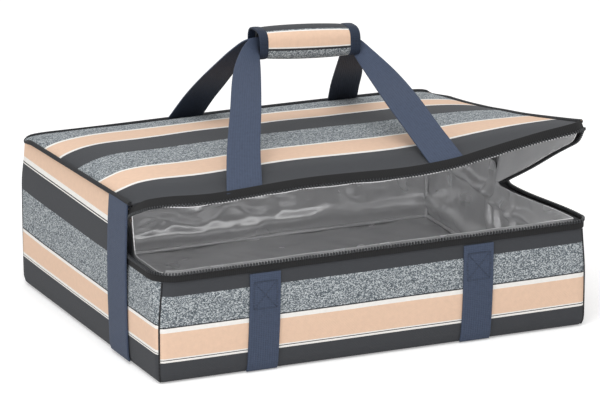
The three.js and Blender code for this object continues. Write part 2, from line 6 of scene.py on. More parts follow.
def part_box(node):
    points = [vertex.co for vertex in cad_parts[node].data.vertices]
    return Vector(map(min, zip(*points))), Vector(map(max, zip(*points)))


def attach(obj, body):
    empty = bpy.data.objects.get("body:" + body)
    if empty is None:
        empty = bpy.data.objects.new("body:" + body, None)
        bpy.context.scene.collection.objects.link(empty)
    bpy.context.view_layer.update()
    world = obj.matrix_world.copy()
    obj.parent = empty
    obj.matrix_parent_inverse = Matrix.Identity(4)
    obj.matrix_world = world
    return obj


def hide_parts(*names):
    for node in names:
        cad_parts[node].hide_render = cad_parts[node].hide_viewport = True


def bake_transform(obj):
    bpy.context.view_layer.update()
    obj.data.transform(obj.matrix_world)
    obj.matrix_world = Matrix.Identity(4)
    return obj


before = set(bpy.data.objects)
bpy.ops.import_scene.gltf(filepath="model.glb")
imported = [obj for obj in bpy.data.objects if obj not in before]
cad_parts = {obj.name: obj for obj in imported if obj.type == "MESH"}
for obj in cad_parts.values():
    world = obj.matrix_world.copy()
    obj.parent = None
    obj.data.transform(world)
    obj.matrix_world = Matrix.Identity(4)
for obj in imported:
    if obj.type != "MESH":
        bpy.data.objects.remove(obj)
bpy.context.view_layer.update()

# Base: the bag's underside, charcoal canvas sewn round a stiffener board and a foam sheet.
# Its edge is drawn up a little into the seam with the four walls. Sizes here are in mm, but the bends, the
# sheets' flat sizes and the studio are in m: MM turns mm to m, and METRE turns m to mm.
MM = 0.001
METRE = 1000
HALF_W, HALF_D = (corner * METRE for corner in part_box("base_outer")[1].xy)
BASE_THICKNESS = 9
BASE_TUCK = 4.5
CORNER_FOOT = 6
EDGE_START = 0.93
EDGE_LIFT = 1.2
MIDDLE_LIFT = 0.6
SOFT_EDGE = 2
EDGE_ANGLE = math.radians(50)
SMOOTH_ANGLE = math.radians(60)


def linear(code):
    """An sRGB hex colour as linear RGBA."""
    channels = [int(code[i : i + 2], 16) / 255 for i in (1, 3, 5)]
    return (*[c / 12.92 if c <= 0.04045 else ((c + 0.055) / 1.055) ** 2.4 for c in channels], 1)


def set_inputs(material, node, inputs):
    """Sets a node's inputs to values, or links them to sockets."""
    for socket, value in inputs.items():
        if isinstance(value, bpy.types.NodeSocket):
            material.node_tree.links.new(value, node.inputs[socket])
        else:
            node.inputs[socket].default_value = value


def add_node(material, kind, inputs=None, **settings):
    """One node with its settings, and its inputs set to values or linked to sockets."""
    made = material.node_tree.nodes.new(kind)
    for key, value in settings.items():
        setattr(made, key, value)
    set_inputs(material, made, inputs or {})
    return made


def new_material(name):
    """An empty node material and its Principled shader."""
    material = bpy.data.materials.new(name)
    material.use_nodes = True
    material.node_tree.nodes.clear()
    shader = add_node(material, "ShaderNodeBsdfPrincipled")
    add_node(material, "ShaderNodeOutputMaterial", {"Surface": shader.outputs[0]})
    return material, shader


def cloth_grid(name, columns, rows, flat, place):
    """Cloth cut flat to (width, height) mm and moved to place(u, v), in mm. Its UV map is the cut, in m."""
    bpy.ops.object.select_all(action="DESELECT")
    bpy.ops.mesh.primitive_grid_add(x_subdivisions=columns, y_subdivisions=rows, size=1)
    piece = bpy.context.object
    piece.name = name
    mesh = piece.data
    cut = mesh.uv_layers[0]
    cut.name = "cut"
    for loop in mesh.loops:
        corner = mesh.vertices[loop.vertex_index].co
        cut.data[loop.index].uv = ((corner.x + 0.5) * flat[0] * MM, (corner.y + 0.5) * flat[1] * MM)
    for vertex in mesh.vertices:
        vertex.co = Vector(place(vertex.co.x + 0.5, vertex.co.y + 0.5)) * MM
    return piece


def apply_modifier(piece, kind, **settings):
    """Adds one modifier with its settings and applies it."""
    bpy.ops.object.select_all(action="DESELECT")
    piece.select_set(True)
    bpy.context.view_layer.objects.active = piece
    modifier = piece.modifiers.new(kind, kind)
    for key, value in settings.items():
        setattr(modifier, key, value)
    bpy.ops.object.modifier_apply(modifier=modifier.name)


def thicken(piece, thickness, round_edge=0.0, offset=-1):
    """Gives a sheet its thickness in mm, inwards at offset -1 and outwards at 1, with a rounded rim."""
    apply_modifier(piece, "SOLIDIFY", thickness=thickness * MM, offset=offset)
    if round_edge:
        apply_modifier(
            piece,
            "BEVEL",
            width=round_edge * MM,
            segments=3,
            limit_method="ANGLE",
            angle_limit=EDGE_ANGLE,
        )
    bpy.ops.object.shade_smooth_by_angle(angle=SMOOTH_ANGLE)


def smooth(t):
    """A soft step from 0 to 1."""
    t = min(max(t, 0.0), 1.0)
    return t * t * (3 - 2 * t)


def base_place(u, v):
    """The underside: an oblong with rounded corners, its rim drawn up into the seam."""
    x, y = 2 * u - 1, 2 * v - 1
    reach = max(abs(x), abs(y))
    if reach == 0:
        return (0, 0, MIDDLE_LIFT)
    edge_x = HALF_W - BASE_TUCK
    edge_y = HALF_D - BASE_TUCK
    square = Vector((x / reach * edge_x, y / reach * edge_y))
    corner = Vector((abs(square.x) - edge_x + CORNER_FOOT, abs(square.y) - edge_y + CORNER_FOOT))
    if corner.x > 0 and corner.y > 0:
        drawn = corner * (CORNER_FOOT / corner.length if corner.length > CORNER_FOOT else 1)
        rounded_x = math.copysign(edge_x - CORNER_FOOT + drawn.x, square.x)
        rounded_y = math.copysign(edge_y - CORNER_FOOT + drawn.y, square.y)
        square = Vector((rounded_x, rounded_y))
    lift = EDGE_LIFT * smooth((reach - EDGE_START) / (1 - EDGE_START))
    return (square.x * reach, square.y * reach, lift)


# Charcoal canvas: plain-woven dyed cotton with a dry, dusty face, a little cloudy in its dye. Thread spacing
# is drawn at 1.4 mm, coarser than real, so that the weave shows.
THREAD = 1.4
THREAD_HEIGHT = 0.3
DYE_CLOUD = 6
canvas, canvas_shader = new_material("charcoal_canvas")
canvas_cut = add_node(canvas, "ShaderNodeUVMap", uv_map="cut")
canvas_threads = add_node(
    canvas,
    "ShaderNodeVectorMath",
    {0: canvas_cut.outputs[0], 1: (1 / (THREAD * MM),) * 3},
    operation="MULTIPLY",
)
canvas_weave = add_node(canvas, "ShaderNodeTexChecker", {"Vector": canvas_threads.outputs[0], "Scale": 1.0})
canvas_cloud = add_node(
    canvas,
    "ShaderNodeTexNoise",
    {"Vector": canvas_cut.outputs[0], "Scale": 1 / (DYE_CLOUD * MM), "Detail": 5.0},
)
canvas_tone = add_node(
    canvas,
    "ShaderNodeMix",
    {0: canvas_cloud.outputs["Fac"], 6: linear("#323337"), 7: linear("#404246")},
    data_type="RGBA",
)
canvas_bump = add_node(
    canvas,
    "ShaderNodeBump",
    {"Height": canvas_weave.outputs["Fac"], "Strength": 0.25, "Distance": THREAD_HEIGHT * MM},
)
set_inputs(
    canvas,
    canvas_shader,
    {
        "Base Color": canvas_tone.outputs[2],
        "Roughness": 0.92,
        "Normal": canvas_bump.outputs[0],
        "Sheen Weight": 0.04,
        "Sheen Roughness": 0.5,
    },
)

base = cloth_grid("base_panel", 60, 48, (2 * HALF_W, 2 * HALF_D), base_place)
bpy.ops.object.mode_set(mode="EDIT")
bpy.ops.mesh.flip_normals()
bpy.ops.object.mode_set(mode="OBJECT")
thicken(base, BASE_THICKNESS, SOFT_EDGE)
base.data.materials.append(canvas)
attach(base, "tub")
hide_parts("base_outer", "base_board", "base_foam")

# Front wall: striped cotton canvas quilted over 6 mm foam, sewn to the base and, at the upright corners, to
# its neighbours. Its foot rolls under the bag, and its corners round off towards the rim, which the zip
# follows. Each wall is named by the way it faces, in degrees, and runs to the right as seen from outside.
FRONT, RIGHT, BACK, LEFT = -90, 0, 90, 180
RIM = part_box("front_outer")[1].z * METRE
WALL_FOOT = 0.6
WALL_PAD = 7.6
CROWN = 2.6
SEAM_CROWN = 0.35
RIPPLE = 0.7
RIPPLE_SIZE = 70
BASE_ROLL = 10
CORNER_LEFT = 24
CORNER_RIGHT = 12
CORNER_TOP = 13
CORNER_FADE = 40
CORNER_INSIDE = 3
RIGHT_BOW = 9
RIGHT_SAG = 4.5
LOOSE_FRONT, LOOSE_FRONT_FADE = -165, 140
LOOSE_REAR, LOOSE_REAR_FADE = 14, 39


def wave(point, size, seed=0.0):
    """Smooth noise from -1 to 1 at a point in mm, with features of the given size."""
    return noise.noise((Vector(point) + Vector((seed, seed * 0.7, seed * 1.3))) / size)


def half_length(facing):
    """Half the length of a wall, from corner to corner."""
    return HALF_W if facing in (FRONT, BACK) else HALF_D


def corner_radii(facing, z, inset):
    """Radii of a wall's first and last corner: tight at the base, rounding off to the zip or to the lid."""
    left = CORNER_FOOT + (CORNER_LEFT - CORNER_FOOT) * smooth(2 * z / RIM - 1)
    right = CORNER_FOOT + (CORNER_RIGHT - CORNER_FOOT) * smooth(2 * z / RIM - 1)
    back = CORNER_FOOT + (CORNER_TOP - CORNER_FOOT) * smooth((z - RIM) / CORNER_FADE)
    ends = {FRONT: (left, right), RIGHT: (right, back), BACK: (back, back), LEFT: (back, left)}
    return [max(radius, inset + CORNER_INSIDE) for radius in ends[facing]]


def tub_side(facing, u, z, inset=0.0):
    """A point of one wall, u from its first corner seam to its last, and its outward normal."""
    first, last = corner_radii(facing, z, inset)
    turn = math.radians(facing)
    across = half_length(facing)
    away = HALF_D if facing in (FRONT, BACK) else HALF_W
    bend = first * math.pi / 4
    run = 2 * across - first - last
    along = u * (bend + run + last * math.pi / 4)
    radius = 0.0
    swing = 0.0
    centre = -across + first + along - bend
    if along < bend:
        radius = first
        swing = along / first - math.pi / 4
        centre = -across + first
    elif along > bend + run:
        radius = last
        swing = (along - bend - run) / last
        centre = across - last
    tangent = Vector((-math.sin(turn), math.cos(turn), 0))
    outward = Vector((math.cos(turn), math.sin(turn), 0))
    normal = math.cos(swing) * outward + math.sin(swing) * tangent
    place = tangent * centre + outward * (away - radius) + normal * (radius - inset)
    loose = 0.0
    if facing == RIGHT:  # the unzipped front half of the right wall slumps inwards
        from_front = smooth((place.y - LOOSE_FRONT) / LOOSE_FRONT_FADE)
        to_rear = smooth((LOOSE_REAR - place.y) / LOOSE_REAR_FADE)
        loose = from_front * to_rear * (z / RIM) ** 2
    return Vector((place.x - RIGHT_BOW * loose, place.y, z - RIGHT_SAG * loose)), normal


def foot_tuck(z):
    """How far the walls draw in where they turn under the bag."""
    return BASE_TUCK * (1 - math.sqrt(1 - min(max(1 - z / BASE_ROLL, 0), 1) ** 2))


def wall_place(facing, top):
    """Places a wall panel up to the height top(u), crowned between its seams and drawn in at the foot."""

    def place(u, v):
        z = WALL_FOOT + (top(u) - WALL_FOOT) * v
        point, normal = tub_side(facing, u, z)
        across = SEAM_CROWN + (1 - SEAM_CROWN) * math.sin(math.pi * min(max(u, 0), 1)) ** 0.6
        swell = CROWN * across * math.sin(math.pi * min(max(v, 0), 1)) ** 0.8
        ripple = RIPPLE * wave(point, RIPPLE_SIZE, facing)
        return point + normal * (swell + ripple * math.sin(math.pi * v) - foot_tuck(z))

    return place


def rim_top(u):
    """Top of a wall that stops at the zip, the same all along it."""
    return RIM


def quilt(piece, cloth, pad):
    """Gives a panel its foam and its striped cloth."""
    thicken(piece, pad, SOFT_EDGE)
    piece.data.materials.append(cloth)


# Striped canvas: cotton woven in charcoal, peach and thin ecru and black lines, dry and matt. The grey is a
# melange of dark and light yarns, whose flecks are drawn at 0.9 by 0.7 mm, coarser than real, to show.
STRIPE_TONES = {
    "charcoal": ("#3b3d41", 0.0),
    "grey": ("#858c94", 1.0),
    "peach": ("#edcbb1", 0.0),
    "ecru": ("#f8f5f0", 0.0),
    "thread": ("#2b2c30", 0.0),
}
MELANGE_YARNS = [(0.1, "#4a5258"), (0.5, "#798187"), (0.95, "#ced3d5")]
FLECK_LONG = 0.9
FLECK_SHORT = 0.7
FIBRE = 5


def striped_canvas(name, stripes):
    """Woven stripes across the cut's second direction, (width in mm, tone) from its start."""
    material, shader = new_material(name)
    total = sum(width for width, _ in stripes)
    cut = add_node(material, "ShaderNodeUVMap", uv_map="cut")
    split = add_node(material, "ShaderNodeSeparateXYZ", {0: cut.outputs[0]})
    share = add_node(
        material, "ShaderNodeMath", {0: split.outputs["Y"], 1: total * MM}, operation="DIVIDE"
    )
    ramp = add_node(material, "ShaderNodeValToRGB", {0: share.outputs[0]})
    ramp.color_ramp.interpolation = "CONSTANT"
    elements = ramp.color_ramp.elements
    elements.remove(elements[1])
    start = 0.0
    for i, (width, tone) in enumerate(stripes):
        colour, melange = STRIPE_TONES[tone]
        stop = elements.new(start / total) if i else elements[0]
        stop.color = (*linear(colour)[:3], melange)
        start += width
    fleck_size = add_node(
        material,
        "ShaderNodeVectorMath",
        {0: cut.outputs[0], 1: (1 / (FLECK_LONG * MM), 1 / (FLECK_SHORT * MM), 1)},
        operation="MULTIPLY",
    )
    fleck = add_node(
        material,
        "ShaderNodeTexVoronoi",
        {"Vector": fleck_size.outputs[0], "Scale": 1.0},
        voronoi_dimensions="2D",
    )
    fleck_split = add_node(material, "ShaderNodeSeparateColor", {0: fleck.outputs["Color"]})
    yarns = add_node(material, "ShaderNodeValToRGB", {0: fleck_split.outputs[0]})
    yarns.color_ramp.elements.new(0.5)
    for stop, (position, colour) in zip(yarns.color_ramp.elements, MELANGE_YARNS):
        stop.position = position
        stop.color = linear(colour)
    melange_mix = add_node(
        material,
        "ShaderNodeMix",
        {0: ramp.outputs["Alpha"], 6: ramp.outputs["Color"], 7: yarns.outputs["Color"]},
        data_type="RGBA",
    )
    fibre = add_node(
        material,
        "ShaderNodeTexNoise",
        {"Vector": cut.outputs[0], "Scale": 1 / (FIBRE * MM), "Detail": 6.0, "Roughness": 0.7},
    )
    fibre_range = add_node(
        material,
        "ShaderNodeMapRange",
        {"Value": fibre.outputs["Fac"], "From Min": 0.25, "From Max": 0.75, "To Min": 0.9, "To Max": 1.0},
    )
    tone = add_node(
        material,
        "ShaderNodeMix",
        {0: 1.0, 6: melange_mix.outputs[2], 7: fibre_range.outputs[0]},
        data_type="RGBA",
        blend_type="MULTIPLY",
    )
    threads = add_node(
        material,
        "ShaderNodeVectorMath",
        {0: cut.outputs[0], 1: (1 / (THREAD * MM),) * 3},
        operation="MULTIPLY",
    )
    weave = add_node(material, "ShaderNodeTexChecker", {"Vector": threads.outputs[0], "Scale": 1.0})
    bump = add_node(
        material,
        "ShaderNodeBump",
        {"Height": weave.outputs["Fac"], "Strength": 0.3, "Distance": THREAD_HEIGHT * MM},
    )
    set_inputs(
        material,
        shader,
        {
            "Base Color": tone.outputs[2],
            "Roughness": 0.9,
            "Normal": bump.outputs[0],
            "Sheen Weight": 0.03,
            "Sheen Roughness": 0.5,
        },
    )
    return material


FRONT_STRIPES = [
    (19.8, "charcoal"),
    (1.8, "ecru"),
    (1.0, "thread"),
    (1.2, "ecru"),
    (25, "peach"),
    (4.2, "ecru"),
    (1.2, "thread"),
    (29, "grey"),
    (18.6, "charcoal"),
]
front_canvas = striped_canvas("striped_canvas_front", FRONT_STRIPES)
front = cloth_grid("front_panel", 110, 30, (2 * HALF_W, RIM), wall_place(FRONT, rim_top))
quilt(front, front_canvas, WALL_PAD)
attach(front, "tub")
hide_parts("front_outer", "front_foam")

# Back wall: one panel of the same quilted canvas, cut in the stripes of the sides. It reaches up to the
# lid's hinge seam, where it is sewn to the lid.
BACK_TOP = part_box("back_outer")[1].z * METRE
BACK_OVER = 7.5
BACK_BOW = 2
BACK_CUT = BACK_TOP + 8
SIDE_STRIPES = [
    (28.5, "charcoal"),
    (1.0, "ecru"),
    (1.0, "thread"),
    (2.5, "ecru"),
    (20, "peach"),
    (3.5, "ecru"),
    (1.2, "thread"),
    (38.5, "grey"),
    (27, "charcoal"),
    (1.2, "ecru"),
    (1.2, "thread"),
    (5, "ecru"),
    (29, "peach"),
]
side_canvas = striped_canvas("striped_canvas_side", SIDE_STRIPES)


def back_top(u):
    """Top of the back wall, bowed up a little between its corners."""
    return BACK_TOP + BACK_OVER + BACK_BOW * math.sin(math.pi * u)


back = cloth_grid("back_panel", 110, 40, (2 * HALF_W, BACK_CUT), wall_place(BACK, back_top))
quilt(back, side_canvas, WALL_PAD)
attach(back, "tub")
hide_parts("back_outer", "back_foam")

# Left wall: the same quilted canvas in two panels that meet under the side strap. In front of the strap it
# stops at the zip. Behind it, it is sewn to the lid's edge.
strap_low, strap_high = (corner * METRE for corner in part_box("left_strap"))
STRAP_MIDDLE = (strap_low.y + strap_high.y) / 2
STRAP_SHARE = (HALF_D - STRAP_MIDDLE) / (2 * HALF_D)
PIPE = 2.2
LEFT_EDGE_BACK = 148.5
LEFT_EDGE_RISE = 0.03
LEFT_CORNER_DROP = 6
CORNER_DROP_RUN = 9


def left_edge_height(y):
    """The seam of the left wall and the lid: it climbs to the front and rounds off at the back."""
    run = HALF_D - y
    return LEFT_EDGE_BACK + LEFT_EDGE_RISE * run - LEFT_CORNER_DROP * math.exp(-run / CORNER_DROP_RUN)


def left_top(u):
    """Top of the left wall behind the strap, under the lid's piping."""
    return left_edge_height(HALF_D - 2 * HALF_D * u) - PIPE


def level_stripes(piece):
    """Measures a piece's cut up from the ground, so that its stripes run level."""
    cut = piece.data.uv_layers["cut"].data
    for loop in piece.data.loops:
        cut[loop.index].uv.y = piece.data.vertices[loop.vertex_index].co.z


def left_panel(name, first, last, top, columns, rows):
    """One panel of the left wall, between two shares of its length."""
    place = wall_place(LEFT, top)
    span = last - first
    cut = (2 * HALF_D * span, LEFT_EDGE_BACK)
    piece = cloth_grid(name, columns, rows, cut, lambda u, v: place(first + span * u, v))
    level_stripes(piece)
    quilt(piece, side_canvas, WALL_PAD)
    return piece


left_rear = left_panel("left_panel_rear", 0, STRAP_SHARE, left_top, 60, 40)
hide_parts("left_outer", "left_foam", "left_gusset")
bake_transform(left_rear)
left_front = left_panel("left_panel_front", STRAP_SHARE, 1, rim_top, 26, 30)
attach(left_front, "tub")

# Right wall: one panel of the same quilted canvas, up to the zip. The rear of the zip is shut and holds it
# up. In front, where the zip is open, its rim bows inwards and sags.
right = cloth_grid("right_panel", 90, 30, (2 * HALF_D, RIM), wall_place(RIGHT, rim_top))
quilt(right, side_canvas, WALL_PAD)
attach(right, "tub")
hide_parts("right_outer", "right_foam")

# Lid: a padded panel of the same striped canvas, sewn to the back and left walls. It is lifted at the front
# right and sags softly to the left, where it is still held by the wall. Its padding swells in from the
# seams like a shoulder, and dips along the right edge.
LID_FRONT = [
    (-220, -108, 155),
    (-215, -122, 161),
    (-209, -137, 167.5),
    (-197, -151, 172),
    (-173, -160, 173.2),
    (-148, -162.5, 174),
    (-65, -164.5, 178),
    (25, -166.5, 176.5),
    (61, -167, 178),
    (87, -167.5, 180.5),
    (113, -168.5, 185.5),
    (165, -169.5, 194.5),
    (203, -168.5, 199),
    (218, -159, 198.5),
]
LID_COLUMNS = 96
LID_ROWS = 72
LID_PAD = 7.5
LID_CROWN = 7
LID_SHOULDER = 5
SHOULDER_BACK, SHOULDER_FRONT = 0.12, 0.1
LID_RIPPLE = 1.0
LID_RIPPLE_SIZE = 60
LEFT_FLAT = 0.2
RIGHT_DIP = 4.5
DIP_START = 0.55
HINGE_Y = HALF_D - 1
HINGE_HEIGHT = BACK_TOP + 9.8
HINGE_CORNER_DROP = 5
LID_STRIPES = [
    (44, "charcoal"),
    (5, "ecru"),
    (38, "peach"),
    (4, "ecru"),
    (55, "grey"),
    (47, "charcoal"),
    (5, "ecru"),
    (36, "peach"),
    (4, "ecru"),
    (62, "grey"),
]
LID_CUT = (2 * HALF_W, sum(width for width, _ in LID_STRIPES))
STEPS_BETWEEN = 24


def smooth_line(points, count):
    """Evenly spaced points on a smooth line through the given ones."""
    knots = [Vector(p) for p in points]
    knots = [2 * knots[0] - knots[1], *knots, 2 * knots[-1] - knots[-2]]
    fine = []
    for a, b, c, d in zip(knots, knots[1:], knots[2:], knots[3:]):
        for i in range(STEPS_BETWEEN):
            t = i / STEPS_BETWEEN
            square = (2 * a - 5 * b + 4 * c - d) * t * t
            cube = (3 * b - a - 3 * c + d) * t ** 3
            fine.append(0.5 * (2 * b + (c - a) * t + square + cube))
    fine.append(knots[-2])
    reach = [0.0]
    for a, b in zip(fine, fine[1:]):
        reach.append(reach[-1] + (b - a).length)
    line = []
    k = 0
    for i in range(count):
        want = reach[-1] * i / (count - 1)
        while k < len(fine) - 2 and reach[k + 1] < want:
            k += 1
        gap = reach[k + 1] - reach[k]
        line.append(fine[k].lerp(fine[k + 1], (want - reach[k]) / gap if gap else 0))
    return line


lid_front_edge = smooth_line(LID_FRONT, LID_COLUMNS + 1)


def lid_back_edge(u):
    """The lid's hinge seam, bowed like the back wall's top and rounded off at its ends."""
    x = -HALF_W + 2 * HALF_W * u
    end = min(x + HALF_W, HALF_W - x)
    drop = HINGE_CORNER_DROP * math.exp(-end / CORNER_DROP_RUN)
    return Vector((x, HINGE_Y, HINGE_HEIGHT + BACK_BOW * math.sin(math.pi * u) - drop))


def on_lid(u, t):
    """A point of the lid's upper face: u from left to right, t from the back seam to the front edge."""
    i = min(int(u * LID_COLUMNS), LID_COLUMNS - 1)
    front_point = lid_front_edge[i].lerp(lid_front_edge[i + 1], u * LID_COLUMNS - i)
    point = lid_back_edge(u).lerp(front_point, t)
    left_seam = lid_back_edge(0).lerp(lid_front_edge[0], t)
    point.z += (left_edge_height(left_seam.y) - left_seam.z) * (1 - u) ** 8
    hump = 4 * t * (1 - t)
    shoulder = LID_SHOULDER * smooth(t / SHOULDER_BACK) * smooth((1 - t) / SHOULDER_FRONT)
    left_side = 1 - (1 - min(u / LEFT_FLAT, 1)) ** 2.2
    right_side = max(0.0, (u - DIP_START) / (1 - DIP_START)) ** 2
    point.z += (shoulder + LID_CROWN * hump) * left_side * (1 - right_side) - RIGHT_DIP * hump * right_side
    point.z += LID_RIPPLE * wave(point, LID_RIPPLE_SIZE, 5) * hump * left_side
    turn_x = math.copysign(max(abs(point.x) - HALF_W + CORNER_TOP, 0), point.x)
    turn = Vector((turn_x, max(point.y - HINGE_Y + CORNER_TOP, 0)))
    if turn.length > CORNER_TOP:
        turn_back = turn * (1 - CORNER_TOP / turn.length)
        point -= Vector((turn_back.x, turn_back.y, 0))
    return point


lid_canvas = striped_canvas("striped_canvas_lid", LID_STRIPES)
lid = cloth_grid("lid_panel", LID_COLUMNS, LID_ROWS, LID_CUT, lambda u, v: on_lid(u, 1 - v))
quilt(lid, lid_canvas, LID_PAD)
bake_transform(lid)
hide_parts("lid_outer", "lid_foam")

# Lining of the walls: foil laminated on thin film and sewn in loose over the foam, so that it is creased all
# over and slumps where it meets the floor. The crumpled foil gives broken, half-hazy reflections.
FOIL = 0.8
FOIL_CREASE = 34
FOIL_CREASE_HEIGHT = 3
foil, foil_shader = new_material("foil_lining")
foil_cut = add_node(foil, "ShaderNodeUVMap", uv_map="cut")
foil_crease = add_node(
    foil,
    "ShaderNodeTexNoise",
    {"Vector": foil_cut.outputs[0], "Scale": 1 / (FOIL_CREASE * MM), "Detail": 5.0, "Distortion": 0.8},
    noise_type="RIDGED_MULTIFRACTAL",
)
foil_bump = add_node(
    foil,
    "ShaderNodeBump",
    {"Height": foil_crease.outputs["Fac"], "Strength": 0.6, "Distance": FOIL_CREASE_HEIGHT * MM},
)
foil_haze = add_node(
    foil,
    "ShaderNodeMapRange",
    {"Value": foil_crease.outputs["Fac"], "To Min": 0.22, "To Max": 0.4},
)
set_inputs(
    foil,
    foil_shader,
    {
        "Base Color": linear("#f0f0f1"),
        "Metallic": 0.45,
        "Roughness": foil_haze.outputs[0],
        "Normal": foil_bump.outputs[0],
    },
)
LINING_INSET = 8.3
LINING_EASE = 14
FLOOR = 16
LINING_FOOT = FLOOR - 4
FOLD, FOLD_SIZE = 4.5, 40
CRINKLE, CRINKLE_SIZE = 1.6, 15
SLUMP, SLUMP_HEIGHT, SLUMP_WIDTH = 6, 15, 7
SLUMP_SWAY, SLUMP_SWAY_SIZE = 5, 42
TUCK, TUCK_WIDTH = 7, 0.012
TUCK_FOOT, TUCK_FADE = 30, 30
GATHER, GATHER_WIDTH = 8, 5
GATHER_SWAY, GATHER_SWAY_SIZE = 4, 30
RIGHT_TUCKS = (0.36, 0.47, 0.54)
RIGHT_GATHER = 84


def foil_sheet(piece, offset=-1):
    """Makes a piece of cloth a sheet of the foil."""
    thicken(piece, FOIL, offset=offset)
    piece.data.materials.append(foil)


def bell(distance, width):
    """A soft bump of height 1 round distance 0."""
    return math.exp(-((distance / width) ** 2))


def lining_wall(name, facing, top, columns, rows, grain, tucks=(), gather=None):
    """Loose foil down one wall: grain under 1 draws its folds out upright, over 1 along the wall.

    tucks are the shares along the wall where it stands out in an upright pleat, and gather is the
    height of a fold that runs along it.
    """

    def place(u, v):
        z = LINING_FOOT + (top(u) - LINING_FOOT) * v
        point, normal = tub_side(facing, u, z, LINING_INSET)
        drawn = (point.x, point.y, point.z * grain)
        level = (point.x, point.y, 0)
        fold = FOLD * abs(wave(drawn, FOLD_SIZE, facing)) + CRINKLE * abs(wave(drawn, CRINKLE_SIZE, facing))
        crease = FLOOR + SLUMP_HEIGHT + SLUMP_SWAY * wave(level, SLUMP_SWAY_SIZE, facing)
        fold += SLUMP * bell(z - crease, SLUMP_WIDTH)
        for tuck in tucks:
            fold += TUCK * bell(u - tuck, TUCK_WIDTH) * smooth((z - TUCK_FOOT) / TUCK_FADE)
        if gather:
            fold += GATHER * bell(z - gather - GATHER_SWAY * wave(level, GATHER_SWAY_SIZE), GATHER_WIDTH)
        return point - normal * (fold * math.sin(math.pi * min(v, 0.999)) ** 0.5)

    length = 2 * half_length(facing) - 2 * LINING_INSET + LINING_EASE
    cut = (length, top(0.5) - LINING_FOOT + SLUMP)
    piece = cloth_grid(name, columns, rows, cut, place)
    foil_sheet(piece)
    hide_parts(name)
    return piece


def front_lining_top(u):
    """Just over the rim, so that a bright edge shows behind the coil."""
    return RIM + 3.5


def right_lining_top(u):
    """Just over the rim where the zip is open, and up to the skirt's lining where it is shut."""
    return RIM + 3 + 10 * smooth((2 * HALF_D * u - HALF_D + 8) / 22)


def back_lining_top(u):
    """Up to the hinge seam."""
    return BACK_TOP + 7


def left_lining_top(u):
    """Up to the lid behind the side strap, and no higher than the zip in front of it."""
    y = HALF_D - 2 * HALF_D * u
    return RIM + 1 + (left_edge_height(y) - 6 - RIM) * smooth((y - strap_low.y - 4) / 12)


front_lining = lining_wall("front_lining", FRONT, front_lining_top, 110, 40, 1)
right_lining = lining_wall(
    "right_lining", RIGHT, right_lining_top, 160, 60, 0.35, RIGHT_TUCKS, RIGHT_GATHER
)
back_lining = lining_wall("back_lining", BACK, back_lining_top, 110, 50, 2)
for lining in (front_lining, right_lining, back_lining):
    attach(lining, "tub")
left_lining = lining_wall("left_lining", LEFT, left_lining_top, 100, 40, 1)
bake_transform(left_lining)

# Lining of the floor: the same foil, laid loose on the base and caught in the seam round it, so that it
# lies in low, broad swells.
FLOOR_SWELL, FLOOR_SWELL_SIZE = 2.0, 60
FLOOR_CRINKLE, FLOOR_CRINKLE_SIZE = 1.0, 22
FLOOR_CUT = (2 * (HALF_W - LINING_INSET), 2 * (HALF_D - LINING_INSET))


def floor_place(u, v):
    """The floor, just short of the walls' lining."""
    x = (2 * u - 1) * (HALF_W - LINING_INSET - 1)
    y = (2 * v - 1) * (HALF_D - LINING_INSET - 1)
    swell = FLOOR_SWELL * wave((x, y, 0), FLOOR_SWELL_SIZE, 3)
    return (x, y, FLOOR + swell + FLOOR_CRINKLE * wave((x, y, 0), FLOOR_CRINKLE_SIZE, 8))


floor = cloth_grid("base_lining", 90, 70, FLOOR_CUT, floor_place)
foil_sheet(floor)
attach(floor, "tub")
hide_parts("base_lining")

# Lining of the lid: the same foil, caught in the lid's seams and hanging a little below its padding,
# in shallow folds.
LID_LINING_GAP = 1.5
LID_FOLD, LID_FOLD_SIZE = 3, 45
LID_FOLD_SPAN = (440, 330)
LID_LINING_SIDES = 0.012
LID_LINING_BACK, LID_LINING_RUN = 0.01, 0.985


def lid_lining_place(u, v):
    """The lid's lining, just inside the lid's edges."""
    across = LID_LINING_SIDES + (1 - 2 * LID_LINING_SIDES) * u
    along = LID_LINING_BACK + LID_LINING_RUN * (1 - v)
    fold = LID_FOLD * abs(wave((u * LID_FOLD_SPAN[0], v * LID_FOLD_SPAN[1], 0), LID_FOLD_SIZE, 4))
    return on_lid(across, along) - Vector((0, 0, LID_PAD + LID_LINING_GAP + fold))


lid_lining = cloth_grid("lid_lining", LID_COLUMNS, LID_ROWS, LID_CUT, lid_lining_place)
foil_sheet(lid_lining)
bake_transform(lid_lining)
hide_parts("lid_lining")

# Zip: black polyester tape with a nylon coil, one half round the rim of the tub and one along the lid.
# It is sewn shut at the left strap and still closed along the rear of the right side. The coil's teeth are
# drawn 3 mm apart, coarser than real, so that they show.
TAPE_WIDTH = 8.5
TAPE = 1.1
TAPE_EDGE = 0.3
TAPE_RIB = 2
TAPE_OUT = 0.5
TAPE_LOW, TAPE_HIGH = RIM - 4.5, RIM + 1.6
COIL_OUT = 1.2
COIL_HEIGHT = RIM + 3
COIL_GRAIN = 3
TEETH_PITCH = 3
TOOTH = (1.5, 3.0, 2.8)
BLOCK_ROUND = 0.3
ZIP_LEFT = STRAP_MIDDLE - 20
ZIP_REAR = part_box("lower_zip_tape")[1].y * METRE


def bands(spacing):
    """Scale of a wave texture with bands that many mm apart: at scale 1 it turns 20 radians a metre."""
    return math.tau / 20 / (spacing * MM)


